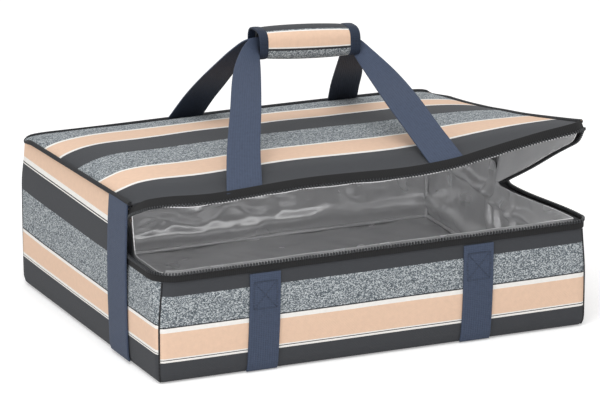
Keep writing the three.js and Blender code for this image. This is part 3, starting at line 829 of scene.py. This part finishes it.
# Zip tape: woven polyester, dull black with fine ribs across it.
tape_cloth, tape_shader = new_material("zip_tape_polyester")
tape_cut = add_node(tape_cloth, "ShaderNodeUVMap", uv_map="cut")
tape_wave = add_node(
    tape_cloth,
    "ShaderNodeTexWave",
    {"Vector": tape_cut.outputs[0], "Scale": bands(TAPE_RIB), "Distortion": 0.4},
    bands_direction="X",
)
tape_bump = add_node(
    tape_cloth,
    "ShaderNodeBump",
    {"Height": tape_wave.outputs["Fac"], "Strength": 0.3, "Distance": THREAD_HEIGHT * MM},
)
tape_tone = add_node(
    tape_cloth,
    "ShaderNodeMix",
    {0: tape_wave.outputs["Fac"], 6: linear("#0a0a0b"), 7: linear("#151517")},
    data_type="RGBA",
)
set_inputs(
    tape_cloth,
    tape_shader,
    {"Base Color": tape_tone.outputs[2], "Roughness": 0.85, "Normal": tape_bump.outputs[0]},
)

# Zip coil: drawn nylon thread, dark and half glossy, with a gloss that changes from tooth to tooth.
coil_nylon, coil_shader = new_material("zip_coil_nylon")
coil_place = add_node(coil_nylon, "ShaderNodeTexCoord")
coil_noise = add_node(
    coil_nylon,
    "ShaderNodeTexNoise",
    {"Vector": coil_place.outputs["Object"], "Scale": 1 / (COIL_GRAIN * MM), "Detail": 2.0},
)
coil_rough = add_node(
    coil_nylon,
    "ShaderNodeMapRange",
    {"Value": coil_noise.outputs["Fac"], "To Min": 0.25, "To Max": 0.5},
)
set_inputs(
    coil_nylon,
    coil_shader,
    {"Base Color": linear("#2a2c2f"), "Roughness": coil_rough.outputs[0], "IOR": 1.53},
)


def ribbon(name, first, second, columns, rows, width):
    """A strip of cloth between two lines of points, in mm, with its cut's length along them."""
    one, two = smooth_line(first, columns + 1), smooth_line(second, columns + 1)
    length = sum((b - a).length for a, b in zip(one, one[1:]))

    def place(u, v):
        i = round(u * columns)
        return one[i].lerp(two[i], v)

    return cloth_grid(name, columns, rows, (length, width), place)


def curve_along(line):
    """A curve with straight steps through a line of points, in mm."""
    bpy.ops.object.select_all(action="DESELECT")
    bpy.ops.curve.primitive_nurbs_path_add()
    curve = bpy.context.object
    curve.data.splines.clear()
    spline = curve.data.splines.new("POLY")
    spline.points.add(len(line) - 1)
    for point, spot in zip(spline.points, line):
        point.co = (*(Vector(spot) * MM), 1)
    return curve


def along_line(name, line, pitch, size):
    """Copies of one small rounded block, size in mm, set side by side along a line."""
    guide = curve_along(line)
    guide.data.twist_mode = "Z_UP"
    bpy.ops.object.select_all(action="DESELECT")
    bpy.ops.mesh.primitive_cube_add(size=1)
    piece = bpy.context.object
    piece.name = name
    for vertex in piece.data.vertices:
        vertex.co = Vector([c * s * MM for c, s in zip(vertex.co, size)])
        vertex.co.x += pitch * MM / 2
    apply_modifier(piece, "BEVEL", width=min(size) * BLOCK_ROUND * MM, segments=1)
    apply_modifier(
        piece,
        "ARRAY",
        fit_type="FIT_CURVE",
        curve=guide,
        use_relative_offset=False,
        use_constant_offset=True,
        constant_offset_displace=(pitch * MM, 0, 0),
    )
    apply_modifier(piece, "CURVE", object=guide, deform_axis="POS_X")
    bpy.data.objects.remove(guide)
    return piece


def spread(first, last, count):
    """Evenly spaced numbers from first to last."""
    return [first + (last - first) * i / (count - 1) for i in range(count)]


def rim_line(z, out):
    """Points along the zip on the tub's rim, from the left side round the front to the right side."""
    left_start = (HALF_D - ZIP_LEFT) / (2 * HALF_D)
    right_end = (ZIP_REAR + HALF_D) / (2 * HALF_D)
    left = [tub_side(LEFT, u, z, -out)[0] for u in spread(left_start, 1, 10)]
    middle = [tub_side(FRONT, u, z, -out)[0] for u in spread(0, 1, 80)]
    right = [tub_side(RIGHT, u, z, -out)[0] for u in spread(0, right_end, 40)]
    return left[:-1] + middle + right[1:]


def finish_zip(tape, coil, offset):
    """Gives one run of the zip the tape's thickness and the materials."""
    thicken(tape, TAPE, TAPE_EDGE, offset)
    tape.data.materials.append(tape_cloth)
    coil.data.materials.append(coil_nylon)


lower_tape = ribbon(
    "lower_zip_tape", rim_line(TAPE_LOW, TAPE_OUT), rim_line(TAPE_HIGH, TAPE_OUT), 260, 4, TAPE_WIDTH
)
lower_coil_line = smooth_line(rim_line(COIL_HEIGHT, COIL_OUT), 300)
lower_coil = along_line("lower_zip_coil", lower_coil_line, TEETH_PITCH, TOOTH)
finish_zip(lower_tape, lower_coil, 1)
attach(lower_tape, "tub")
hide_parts("lower_zip_tape")
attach(lower_coil, "tub")
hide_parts("lower_zip_coil")

lid_seam = [Vector(spot) for spot in LID_FRONT[1:]]
UPPER_SEWN = [
    (-220.6, -84, 110),
    (-220.6, -90, 130),
    (-220.4, -98, 146),
    *(spot + Vector((0, -1.3, 2)) for spot in lid_seam),
]
UPPER_COIL = [
    (-221.5, -91, 108.5),
    (-221.5, -96, 126),
    (-221.3, -104, 143),
    *(spot + Vector((spot.x / 110, -4, -6.2)) for spot in lid_seam),
]
upper_tape = ribbon("upper_zip_tape", UPPER_COIL, UPPER_SEWN, 200, 4, TAPE_WIDTH)
upper_coil = along_line("upper_zip_coil", smooth_line(UPPER_COIL, 240), TEETH_PITCH, TOOTH)
finish_zip(upper_tape, upper_coil, 0)
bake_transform(upper_tape)
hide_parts("upper_zip_tape")
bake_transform(upper_coil)
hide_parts("upper_zip_coil")

# Lining hem: the edge of the lid's foil, turned over the inside of the upper tape and sewn down with it,
# so that a bright edge shows under the coil.
HEM_CUT = 14
hem_front = [Vector(spot) + Vector((0, 3, 0.6)) for spot in UPPER_COIL[2:]]
hem_back = [spot + Vector((0, 14, -8)) for spot in lid_seam]
hem = ribbon("lid_lining_hem", hem_front, [hem_back[0], *hem_back], 200, 4, HEM_CUT)
foil_sheet(hem, offset=0)
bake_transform(hem)

# Right skirt: the wedge of striped canvas and foil between the lid's right edge and the zip. It is sewn to
# the piping above and to its own run of the tape below, which hangs open in front and is zipped up behind.
CLOTH = 1.5
SKIRT_COIL = [
    UPPER_COIL[-1],
    (221, -149, 177),
    (219.5, -128, 165),
    (217, -105, 152),
    (212.5, -72, 132),
    (208, -40, 114),
    (205, -18, 103),
    (216, 3, 107),
    (222.5, 15, RIM + 5.9),
    (222.5, 26, RIM + 5.7),
    (222.5, ZIP_REAR, RIM + 5.7),
]
SKIRT_SEWN = [
    UPPER_SEWN[-1],
    (219.5, -143, 183),
    (218, -122, 171.5),
    (216, -100, 159),
    (212.5, -69, 139.5),
    (208.5, -38, 121.5),
    (206, -18, 110.5),
    (215, 3, 114),
    (221, 15, RIM + 13),
    (221, 26, RIM + 13),
    (221, ZIP_REAR, RIM + 13),
]
SKIRT_TAIL = [(221, ZIP_REAR + 5, RIM + 1), (220.5, HALF_D - 4, RIM)]
SKIRT_COLUMNS = 100
SKIRT_ROWS = 14
SKIRT_CUT = (2 * HALF_D, 60)
SKIRT_BULGE = 1.5
SKIRT_FULL = 40
SKIRT_WRINKLE_SIZE = 25
SKIRT_REACH = HALF_D + 160
skirt_tape = ribbon("skirt_zip_tape", SKIRT_COIL, SKIRT_SEWN, 120, 4, TAPE_WIDTH)
skirt_coil = along_line("skirt_zip_coil", smooth_line(SKIRT_COIL, 160), TEETH_PITCH, TOOTH)
finish_zip(skirt_tape, skirt_coil, 0)
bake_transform(skirt_tape)
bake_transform(skirt_coil)


def skirt_place(foot_line, inset, wrinkle):
    """Hangs cloth from the lid's right edge down to a line along the zip, bulging where it is deep."""
    feet = smooth_line([*foot_line, *SKIRT_TAIL], SKIRT_COLUMNS + 1)

    def place(u, v):
        foot = feet[round(u * SKIRT_COLUMNS)]
        lid_t = (HALF_D - foot.y) / SKIRT_REACH
        head = on_lid(1.0, min(max(lid_t, 0), 1)) - Vector((0, 0, PIPE))
        point = foot.lerp(head, v)
        bulge = math.sin(math.pi * v) * min(1, (head - foot).length / SKIRT_FULL)
        point.x += bulge * (SKIRT_BULGE + wrinkle * wave(point, SKIRT_WRINKLE_SIZE, 9)) - inset
        return point

    return place


skirt = cloth_grid("right_skirt", SKIRT_COLUMNS, SKIRT_ROWS, SKIRT_CUT, skirt_place(SKIRT_SEWN, 0.5, 0.8))
level_stripes(skirt)
thicken(skirt, CLOTH)
skirt.data.materials.append(side_canvas)
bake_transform(skirt)
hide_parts("right_skirt_outer")
skirt_lining = cloth_grid(
    "right_skirt_lining", SKIRT_COLUMNS, SKIRT_ROWS, SKIRT_CUT, skirt_place(SKIRT_COIL, 5.5, 1.6)
)
foil_sheet(skirt_lining)
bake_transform(skirt_lining)
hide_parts("right_skirt_lining")

# Piping: a cord wrapped in charcoal canvas cut on the bias, sewn into the lid's left, back and right edges.
# The bias shows as fine slanting ribs, darker than the wall.
PIPING_RIB = 1.6
CORD_ROUND = 3
piping_cloth, piping_shader = new_material("piping_canvas")
piping_place = add_node(piping_cloth, "ShaderNodeTexCoord")
piping_wave = add_node(
    piping_cloth,
    "ShaderNodeTexWave",
    {"Vector": piping_place.outputs["Object"], "Scale": bands(PIPING_RIB), "Distortion": 0.5},
    bands_direction="DIAGONAL",
)
piping_tone = add_node(
    piping_cloth,
    "ShaderNodeMix",
    {0: piping_wave.outputs["Fac"], 6: linear("#131416"), 7: linear("#232428")},
    data_type="RGBA",
)
piping_bump = add_node(
    piping_cloth,
    "ShaderNodeBump",
    {"Height": piping_wave.outputs["Fac"], "Strength": 0.3, "Distance": THREAD_HEIGHT * MM},
)
set_inputs(
    piping_cloth,
    piping_shader,
    {"Base Color": piping_tone.outputs[2], "Roughness": 0.85, "Normal": piping_bump.outputs[0]},
)


def tube(name, line, radius):
    """A round cord along a line of points, in mm."""
    piece = curve_along(line)
    piece.name = name
    piece.data.bevel_depth = radius * MM
    piece.data.bevel_resolution = CORD_ROUND
    piece.data.use_fill_caps = True
    bpy.ops.object.convert(target="MESH")
    bpy.ops.object.shade_smooth()
    return bpy.context.object


left_run = [on_lid(0.0, t) + Vector((-1, 0, 0.3)) for t in spread(1, 0.1, 30)]
back_run = [on_lid(u, 0.0) + Vector((0, 0.6, 0.3)) for u in spread(0.0, 1.0, 80)]
right_run = [on_lid(1.0, t) + Vector((1, 0, 0.3)) for t in spread(0.1, 1, 30)]
piping = tube("lid_piping", smooth_line([*left_run, *back_run, *right_run], 260), PIPE)
piping.data.materials.append(piping_cloth)
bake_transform(piping)
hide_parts("lid_piping")

# Corner seams: the same canvas folded into a thin welt down each upright corner, sewn in between the two
# walls. It stops under the zip in front and at the lid behind.
WELT = 0.9
TRIM_FOOT = 1.5
TRIM_TOP = RIM - 6
CORNERS = {
    "front_left": (FRONT, 0.0),
    "front_right": (FRONT, 1.0),
    "back_right": (BACK, 0.0),
    "back_left": (BACK, 1.0),
}


def up_wall(z, top):
    """The share v of a wall at height z, where its top is at height top."""
    return (z - WALL_FOOT) / (top - WALL_FOOT)


for corner, (facing, u) in CORNERS.items():
    wall_top, welt_top = (rim_top, TRIM_TOP) if facing == FRONT else (back_top, BACK_TOP)
    surface = wall_place(facing, wall_top)
    line = [surface(u, up_wall(z, wall_top(u))) for z in spread(TRIM_FOOT, welt_top, 24)]
    welt = tube(f"corner_welt_{corner}", line, WELT)
    welt.data.materials.append(piping_cloth)
    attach(welt, "tub")

# Straps: navy polypropylene webbing, sewn flat down the front, back and left walls. The front ones are
# fastened with a box and cross of navy thread, and the left one runs up to the lid's edge.
WEBBING = 1.8
WEBBING_EDGE = 0.4
WEBBING_RIB, WEBBING_COLUMN = 1.8, 2.4
WEBBING_RELIEF = 0.4
WEBBING_FIBRE = 4


def woven_webbing(name, dark, light):
    """Polypropylene webbing: ribs across its length, warp columns along it, two yarn tones, a dull sheen."""
    material, shader = new_material(name)
    cut = add_node(material, "ShaderNodeUVMap", uv_map="cut")
    rib = add_node(
        material,
        "ShaderNodeTexWave",
        {"Vector": cut.outputs[0], "Scale": bands(WEBBING_RIB), "Distortion": 0.8},
        bands_direction="Y",
    )
    column = add_node(
        material,
        "ShaderNodeTexWave",
        {"Vector": cut.outputs[0], "Scale": bands(WEBBING_COLUMN), "Distortion": 0.3},
        bands_direction="X",
    )
    height = add_node(
        material, "ShaderNodeMath", {0: rib.outputs["Fac"], 1: column.outputs["Fac"]}, operation="ADD"
    )
    fibre = add_node(
        material,
        "ShaderNodeTexNoise",
        {"Vector": cut.outputs[0], "Scale": 1 / (WEBBING_FIBRE * MM), "Detail": 6.0},
    )
    mix = add_node(
        material,
        "ShaderNodeMath",
        {0: height.outputs[0], 1: 0.3, 2: fibre.outputs["Fac"]},
        operation="MULTIPLY_ADD",
    )
    tone = add_node(
        material,
        "ShaderNodeMix",
        {0: mix.outputs[0], 6: linear(dark), 7: linear(light)},
        data_type="RGBA",
    )
    bump = add_node(
        material,
        "ShaderNodeBump",
        {"Height": height.outputs[0], "Strength": 0.35, "Distance": WEBBING_RELIEF * MM},
    )
    set_inputs(
        material,
        shader,
        {
            "Base Color": tone.outputs[2],
            "Roughness": 0.72,
            "Normal": bump.outputs[0],
            "Sheen Weight": 0.03,
            "Sheen Roughness": 0.5,
        },
    )
    return material


webbing = woven_webbing("navy_webbing", "#273143", "#3b475e")
# A darker copy of the webbing: painted shade on the back arms' undersides, and the grip bindings' own darker
# navy.
binding_and_painted_shade_webbing = woven_webbing("navy_webbing_binding_and_painted_shade", "#0b1524", "#15243a")


def wall_share(facing, distance, z):
    """The share u of a wall at a distance from its middle."""
    across = half_length(facing)
    first, last = corner_radii(facing, z, 0)
    bend = first * math.pi / 4
    return (bend + across - first + distance) / (bend + 2 * across - first - last + last * math.pi / 4)


def wall_strap(name, facing, middle, width, bottom, top, wall_top, lift=0.3, lean=0.0):
    """Webbing that lies on a wall, middle and width along the wall's own direction, lean at its foot."""
    surface = wall_place(facing, wall_top)

    def place(u, v):
        z = bottom + (top - bottom) * v
        share = wall_share(facing, middle + (u - 0.5) * width + lean * (1 - v), z)
        point = surface(share, up_wall(z, wall_top(share)))
        return point + tub_side(facing, share, z)[1] * lift

    piece = cloth_grid(name, 8, 40, (width, top - bottom), place)
    thicken(piece, WEBBING, WEBBING_EDGE, 1)
    piece.data.materials.append(webbing)
    return piece, place


# Navy thread: twisted polyester, a little shinier than the webbing, with its twist as slanting bands.
THREAD_TWIST = 0.7
thread, thread_shader = new_material("navy_thread")
thread_place = add_node(thread, "ShaderNodeTexCoord")
thread_twist = add_node(
    thread,
    "ShaderNodeTexWave",
    {"Vector": thread_place.outputs["Object"], "Scale": bands(THREAD_TWIST)},
    bands_direction="DIAGONAL",
)
thread_tone = add_node(
    thread,
    "ShaderNodeMix",
    {0: thread_twist.outputs["Fac"], 6: linear("#232a37"), 7: linear("#39445a")},
    data_type="RGBA",
)
set_inputs(thread, thread_shader, {"Base Color": thread_tone.outputs[2], "Roughness": 0.6})
STITCH_PITCH = 3.4
STITCH = (2.4, 0.8, 0.7)
BOX_FOOT, BOX_HEAD = 62, 88
BOX_MARGIN = 0.12
BOX_PATH = [(0, 0), (1, 1), (0, 1), (1, 0), (0, 0), (0, 1), (1, 1), (1, 0)]


def box_stitches(name, place, bottom, top):
    """A box and a cross of stitches on a front strap, made in one go along BOX_PATH."""
    line = []
    for (a, b), (c, d) in zip(BOX_PATH, BOX_PATH[1:]):
        for share in spread(0, 1, 16)[:-1]:
            u = BOX_MARGIN + (1 - 2 * BOX_MARGIN) * (a + (c - a) * share)
            z = BOX_FOOT + (BOX_HEAD - BOX_FOOT) * (b + (d - b) * share)
            line.append(place(u, (z - bottom) / (top - bottom)) + Vector((0, -WEBBING - 0.1, 0)))
    piece = along_line(name, line, STITCH_PITCH, STITCH)
    piece.data.materials.append(thread)
    return piece


FRONT_LEAN = -3
BACK_STRAP_TOP = BACK_TOP + 7
SIDE_STRAP_FOOT = 3
SIDE_STRAP_LIFT = 1.2
for name in ("front_strap_left", "front_strap_right"):
    low, high = (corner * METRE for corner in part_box(name))
    middle, width = (low.x + high.x) / 2, high.x - low.x
    strap, strap_place = wall_strap(
        name, FRONT, middle, width, TRIM_FOOT, TRIM_TOP, rim_top, lean=FRONT_LEAN
    )
    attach(box_stitches(f"{name}_stitches", strap_place, TRIM_FOOT, TRIM_TOP), "tub")
    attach(strap, "tub")
    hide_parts(name)
for name in ("back_strap_left", "back_strap_right"):
    low, high = (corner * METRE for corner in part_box(name))
    middle, width = -(low.x + high.x) / 2, high.x - low.x
    strap, _ = wall_strap(name, BACK, middle, width, TRIM_FOOT, BACK_STRAP_TOP, back_top)
    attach(strap, "tub")
    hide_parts(name)
side_strap, _ = wall_strap(
    "left_strap",
    LEFT,
    -STRAP_MIDDLE,
    strap_high.y - strap_low.y,
    SIDE_STRAP_FOOT,
    left_edge_height(STRAP_MIDDLE),
    left_top,
    SIDE_STRAP_LIFT,
)
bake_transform(side_strap)
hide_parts("left_strap", "left_strap_upper")

# Handle: four arms of the same webbing, sewn to the lid's front edge and to its back seam, and gathered in
# the grip. Each is given by the lower part of its left and right edges, then the upper part. The undersides
# of the back arms take a darker copy of the webbing, which is painted shade.
ARM_WIDTH = 32
PAINTED_SHADE_SLOPE = 0.1
ARMS = {
    "handle_arm_front_left": (
        [(-148, -165, 173), (-130.5, -125, 200), (-110, -85, 227), (-90, -45, 249)],
        [(-112, -165, 174), (-96.5, -125, 201), (-78, -85, 228), (-61, -45, 246)],
        [(-73, -20, 261), (-55, -3, 270), (-38, 0, 271)],
        [(-52, -22, 254), (-46, -5, 262), (-38, -3, 262)],
    ),
    "handle_arm_front_right": (
        [(59, -169, 176), (55.5, -125, 196), (51, -85, 216), (51, -45, 231)],
        [(93, -169, 180), (88, -125, 200), (86, -85, 216), (82, -45, 231)],
        [(50.5, -18, 242), (49, -4, 251), (43, -3, 254)],
        [(68, -18, 249), (57, -4, 260), (43, -2, 263)],
    ),
    "handle_arm_back_left": (
        [(-67, 172.5, BACK_TOP + 10), (-66, 168, BACK_TOP + 15), (-62.5, 140, 177), (-64.5, 100, 203.5)],
        [(-31, 172.5, BACK_TOP + 10), (-30.5, 168, BACK_TOP + 14), (-30.5, 140, 173), (-34, 100, 200)],
        [(-65.5, 55, 232), (-62, 22, 255), (-54, 5, 268), (-38, 2, 269)],
        [(-43, 55, 226), (-49, 22, 250), (-48, 5, 263), (-38, 3, 262)],
    ),
    "handle_arm_back_right": (
        [(105, 172.5, BACK_TOP + 10), (104, 168, BACK_TOP + 14), (94, 140, 171), (80, 100, 196)],
        [(137, 172.5, BACK_TOP + 9.5), (135.5, 168, BACK_TOP + 13), (125, 140, 168), (110, 100, 194)],
        [(64, 55, 222), (53, 22, 244), (48, 6, 254), (44, 3, 256)],
        [(89, 55, 220), (73, 22, 242), (62, 6, 254), (46, 3, 258)],
    ),
}
for name, (left_low, right_low, left_high, right_high) in ARMS.items():
    arm = ribbon(name, left_low + left_high, right_low + right_high, 60, 8, ARM_WIDTH)
    arm_cut = arm.data.uv_layers["cut"].data
    for loop in arm.data.loops:
        along, over = arm_cut[loop.index].uv
        arm_cut[loop.index].uv = (over, along)
    thicken(arm, WEBBING, WEBBING_EDGE, 0)
    arm.data.materials.append(webbing)
    arm.data.materials.append(binding_and_painted_shade_webbing)
    for face in arm.data.polygons:
        # Faces of the back arms that point downwards take the darker copy, as painted shade.
        face.material_index = int("back" in name and face.normal.z < PAINTED_SHADE_SLOPE)
    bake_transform(arm)
    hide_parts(name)

# Grip: a padded wrap of the striped canvas, closed round the gathered arms, with its two ends bound in
# webbing. Its section is a rounded square, and its seam lies on top, a little to the front.
GRIP_LOW, GRIP_HIGH = (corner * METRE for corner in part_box("grip_wrap"))
GRIP_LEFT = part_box("grip_binding_left")[0].x * METRE
GRIP_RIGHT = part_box("grip_binding_right")[1].x * METRE
GRIP_STRIPES = [
    (61, "charcoal"),
    (18.2, "grey"),
    (1.4, "thread"),
    (0.8, "ecru"),
    (14.6, "peach"),
    (1.8, "ecru"),
    (2.2, "grey"),
]
GRIP_GIRTH = sum(width for width, _ in GRIP_STRIPES)
GRIP_DEPTH = 14
GRIP_TALL = 13.5
GRIP_SQUARED = 0.65
GRIP_SEAM = math.radians(115)
GRIP_ENDS = ((-2, 266), (-3, 258))
GRIP_PAD = 3
GRIP_SWELL = 2.2
BINDING = 2
BINDING_EDGE = 0.6
BINDING_SWELL = 0.4
WELD = 0.05
grip_canvas = striped_canvas("striped_canvas_grip", GRIP_STRIPES)


def grip_place(left, right, swell):
    """A sleeve round the grip's middle line from left to right, swelling between its ends."""

    def place(u, v):
        turn = GRIP_SEAM - 2 * math.pi * v
        end = math.sin(math.pi * u) ** 0.5
        x = left + (right - left) * u
        share = (x - GRIP_LEFT) / (GRIP_RIGHT - GRIP_LEFT)
        middle_y, middle_z = (a + (b - a) * share for a, b in zip(*GRIP_ENDS))
        c, s = math.cos(turn), math.sin(turn)
        depth = (GRIP_DEPTH + swell * end) * math.copysign(abs(c) ** GRIP_SQUARED, c)
        height = (GRIP_TALL + swell * end) * math.copysign(abs(s) ** GRIP_SQUARED, s)
        return (x, middle_y + depth, middle_z + height)

    return place


wrap_cut = (GRIP_RIGHT - GRIP_LEFT, GRIP_GIRTH)
wrap_place = grip_place(GRIP_LOW.x - 1, GRIP_HIGH.x - 7, GRIP_SWELL)
wrap = cloth_grid("grip_wrap", 40, 60, wrap_cut, wrap_place)
apply_modifier(wrap, "WELD", merge_threshold=WELD * MM)
thicken(wrap, GRIP_PAD)
wrap.data.materials.append(grip_canvas)
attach(wrap, "handle_grip")
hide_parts("grip_wrap", "grip_core")
for name, left, right_end in (
    ("grip_binding_left", GRIP_LEFT + 3.5, GRIP_LOW.x + 1),
    ("grip_binding_right", GRIP_HIGH.x - 9.5, GRIP_RIGHT - 10.5),
):
    binding_cut = (right_end - left, GRIP_GIRTH)
    binding = cloth_grid(name, 8, 60, binding_cut, grip_place(left, right_end, BINDING_SWELL))
    apply_modifier(binding, "WELD", merge_threshold=WELD * MM)
    thicken(binding, BINDING, BINDING_EDGE, 0)
    binding.data.materials.append(binding_and_painted_shade_webbing)
    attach(binding, "handle_grip")
    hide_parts(name)

# Bound seams of the lining: a strip of the foil folded over the raw edges, round the floor and up each
# corner, and sewn through. The corner ones sway a little, as loose seams do.
SEAM = 2
SEAM_INSET = LINING_INSET + 2.5
SEAM_SWAY = 0.8
seam_lines = {}
for corner, (facing, u) in CORNERS.items():
    line = []
    for z in spread(FLOOR, RIM - 1, 24):
        point = tub_side(facing, u, z, SEAM_INSET)[0]
        sway = Vector((wave((0, 0, z), 14, u + facing), wave((0, 0, z), 17, facing), 0))
        line.append(point + SEAM_SWAY * sway)
    seam_lines[f"corner_binding_{corner}"] = line
floor_loop = []
for facing in (FRONT, RIGHT, BACK, LEFT):
    floor_loop += [tub_side(facing, u, FLOOR + 2, SEAM_INSET)[0] for u in spread(0, 1, 40)[:-1]]
seam_lines["floor_binding"] = floor_loop + floor_loop[:1]
for name, line in seam_lines.items():
    seam = tube(name, line, SEAM)
    seam.data.materials.append(foil)
    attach(seam, "tub")
    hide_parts(name)

# Zip slider, puller and stops: die-cast zinc with a dark plated finish, smooth with faint cloudy patches.
# They are the CAD's own solids, with this material.
ZINC_CLOUD = 2
zinc, zinc_shader = new_material("gunmetal_plated_zinc")
zinc_place = add_node(zinc, "ShaderNodeTexCoord")
zinc_noise = add_node(
    zinc,
    "ShaderNodeTexNoise",
    {"Vector": zinc_place.outputs["Object"], "Scale": 1 / (ZINC_CLOUD * MM), "Detail": 4.0},
)
zinc_rough = add_node(
    zinc, "ShaderNodeMapRange", {"Value": zinc_noise.outputs["Fac"], "To Min": 0.22, "To Max": 0.42}
)
set_inputs(
    zinc,
    zinc_shader,
    {"Base Color": linear("#4a4b4f"), "Metallic": 1.0, "Roughness": zinc_rough.outputs[0]},
)
for name in ("zip_slider", "zip_puller", "zip_stop_left", "zip_stop_rear"):
    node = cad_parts[name]
    node.data.materials.clear()
    node.data.materials.append(zinc)

# Studio: a floor of white paper that glows a little towards the camera, a white sky, three softboxes and
# the camera. None of it is part of the bag.
FLOOR_GLOW = 0.34
FLOOR_GAP = 0.0005
bpy.ops.object.select_all(action="DESELECT")
bpy.ops.mesh.primitive_plane_add(size=40, location=(0, 0, -FLOOR_GAP))
studio_floor = bpy.context.object
studio_floor.name = "studio_floor"
paper, paper_shader = new_material("white_paper_floor")
set_inputs(paper, paper_shader, {"Base Color": linear("#efefef"), "Roughness": 0.9})
path = add_node(paper, "ShaderNodeLightPath")
dim = add_node(
    paper, "ShaderNodeMath", {0: path.outputs["Is Camera Ray"], 1: FLOOR_GLOW}, operation="MULTIPLY"
)
glow = add_node(paper, "ShaderNodeEmission", {"Color": linear("#ffffff"), "Strength": dim.outputs[0]})
both = add_node(paper, "ShaderNodeAddShader", {0: paper_shader.outputs[0], 1: glow.outputs[0]})
paper_out = next(n for n in paper.node_tree.nodes if n.type == "OUTPUT_MATERIAL")
set_inputs(paper, paper_out, {"Surface": both.outputs[0]})
studio_floor.data.materials.append(paper)

world = bpy.data.worlds.new("studio")
bpy.context.scene.world = world
world.use_nodes = True
world.node_tree.nodes.clear()
sky_path = add_node(world, "ShaderNodeLightPath")
seen = add_node(
    world,
    "ShaderNodeMath",
    {0: sky_path.outputs["Is Camera Ray"], 1: sky_path.outputs["Is Glossy Ray"]},
    operation="MAXIMUM",
)
level = add_node(world, "ShaderNodeMapRange", {"Value": seen.outputs[0], "To Min": 0.6, "To Max": 1.0})
sky = add_node(world, "ShaderNodeBackground", {"Color": linear("#ffffff"), "Strength": level.outputs[0]})
add_node(world, "ShaderNodeOutputWorld", {"Surface": sky.outputs[0]})

LAMP_AIM = Vector((0, 0, 0.1))
LAMPS = [
    ("key_softbox", (-0.7, -1.1, 2.7), 1.8, 38),
    ("side_softbox", (-2.1, -1.5, 0.9), 1.6, 13),
    ("front_softbox", (-0.3, -2.6, 0.6), 1.2, 3),
]
for name, place, size, power in LAMPS:
    lamp = bpy.data.lights.new(name, "AREA")
    lamp.size = size
    lamp.energy = power
    lamp_stand = bpy.data.objects.new(name, lamp)
    bpy.context.scene.collection.objects.link(lamp_stand)
    lamp_stand.location = place
    lamp_stand.rotation_euler = (LAMP_AIM - Vector(place)).to_track_quat("-Z", "Y").to_euler()

CAMERA_TILT = math.radians(90 - 16.83)
CAMERA_TURN = math.radians(-23.93)
camera = bpy.data.cameras.new("camera")
camera.lens = 363
camera.shift_x = 0.0022
camera.shift_y = 0.002
camera.sensor_width = 36
camera.clip_end = 100
tripod = bpy.data.objects.new("camera", camera)
bpy.context.scene.collection.objects.link(tripod)
tripod.location = (-2.252, -5.070, 1.781)
tripod.rotation_euler = (CAMERA_TILT, 0, CAMERA_TURN)
bpy.context.scene.camera = tripod
bpy.context.scene.view_settings.view_transform = "Standard"
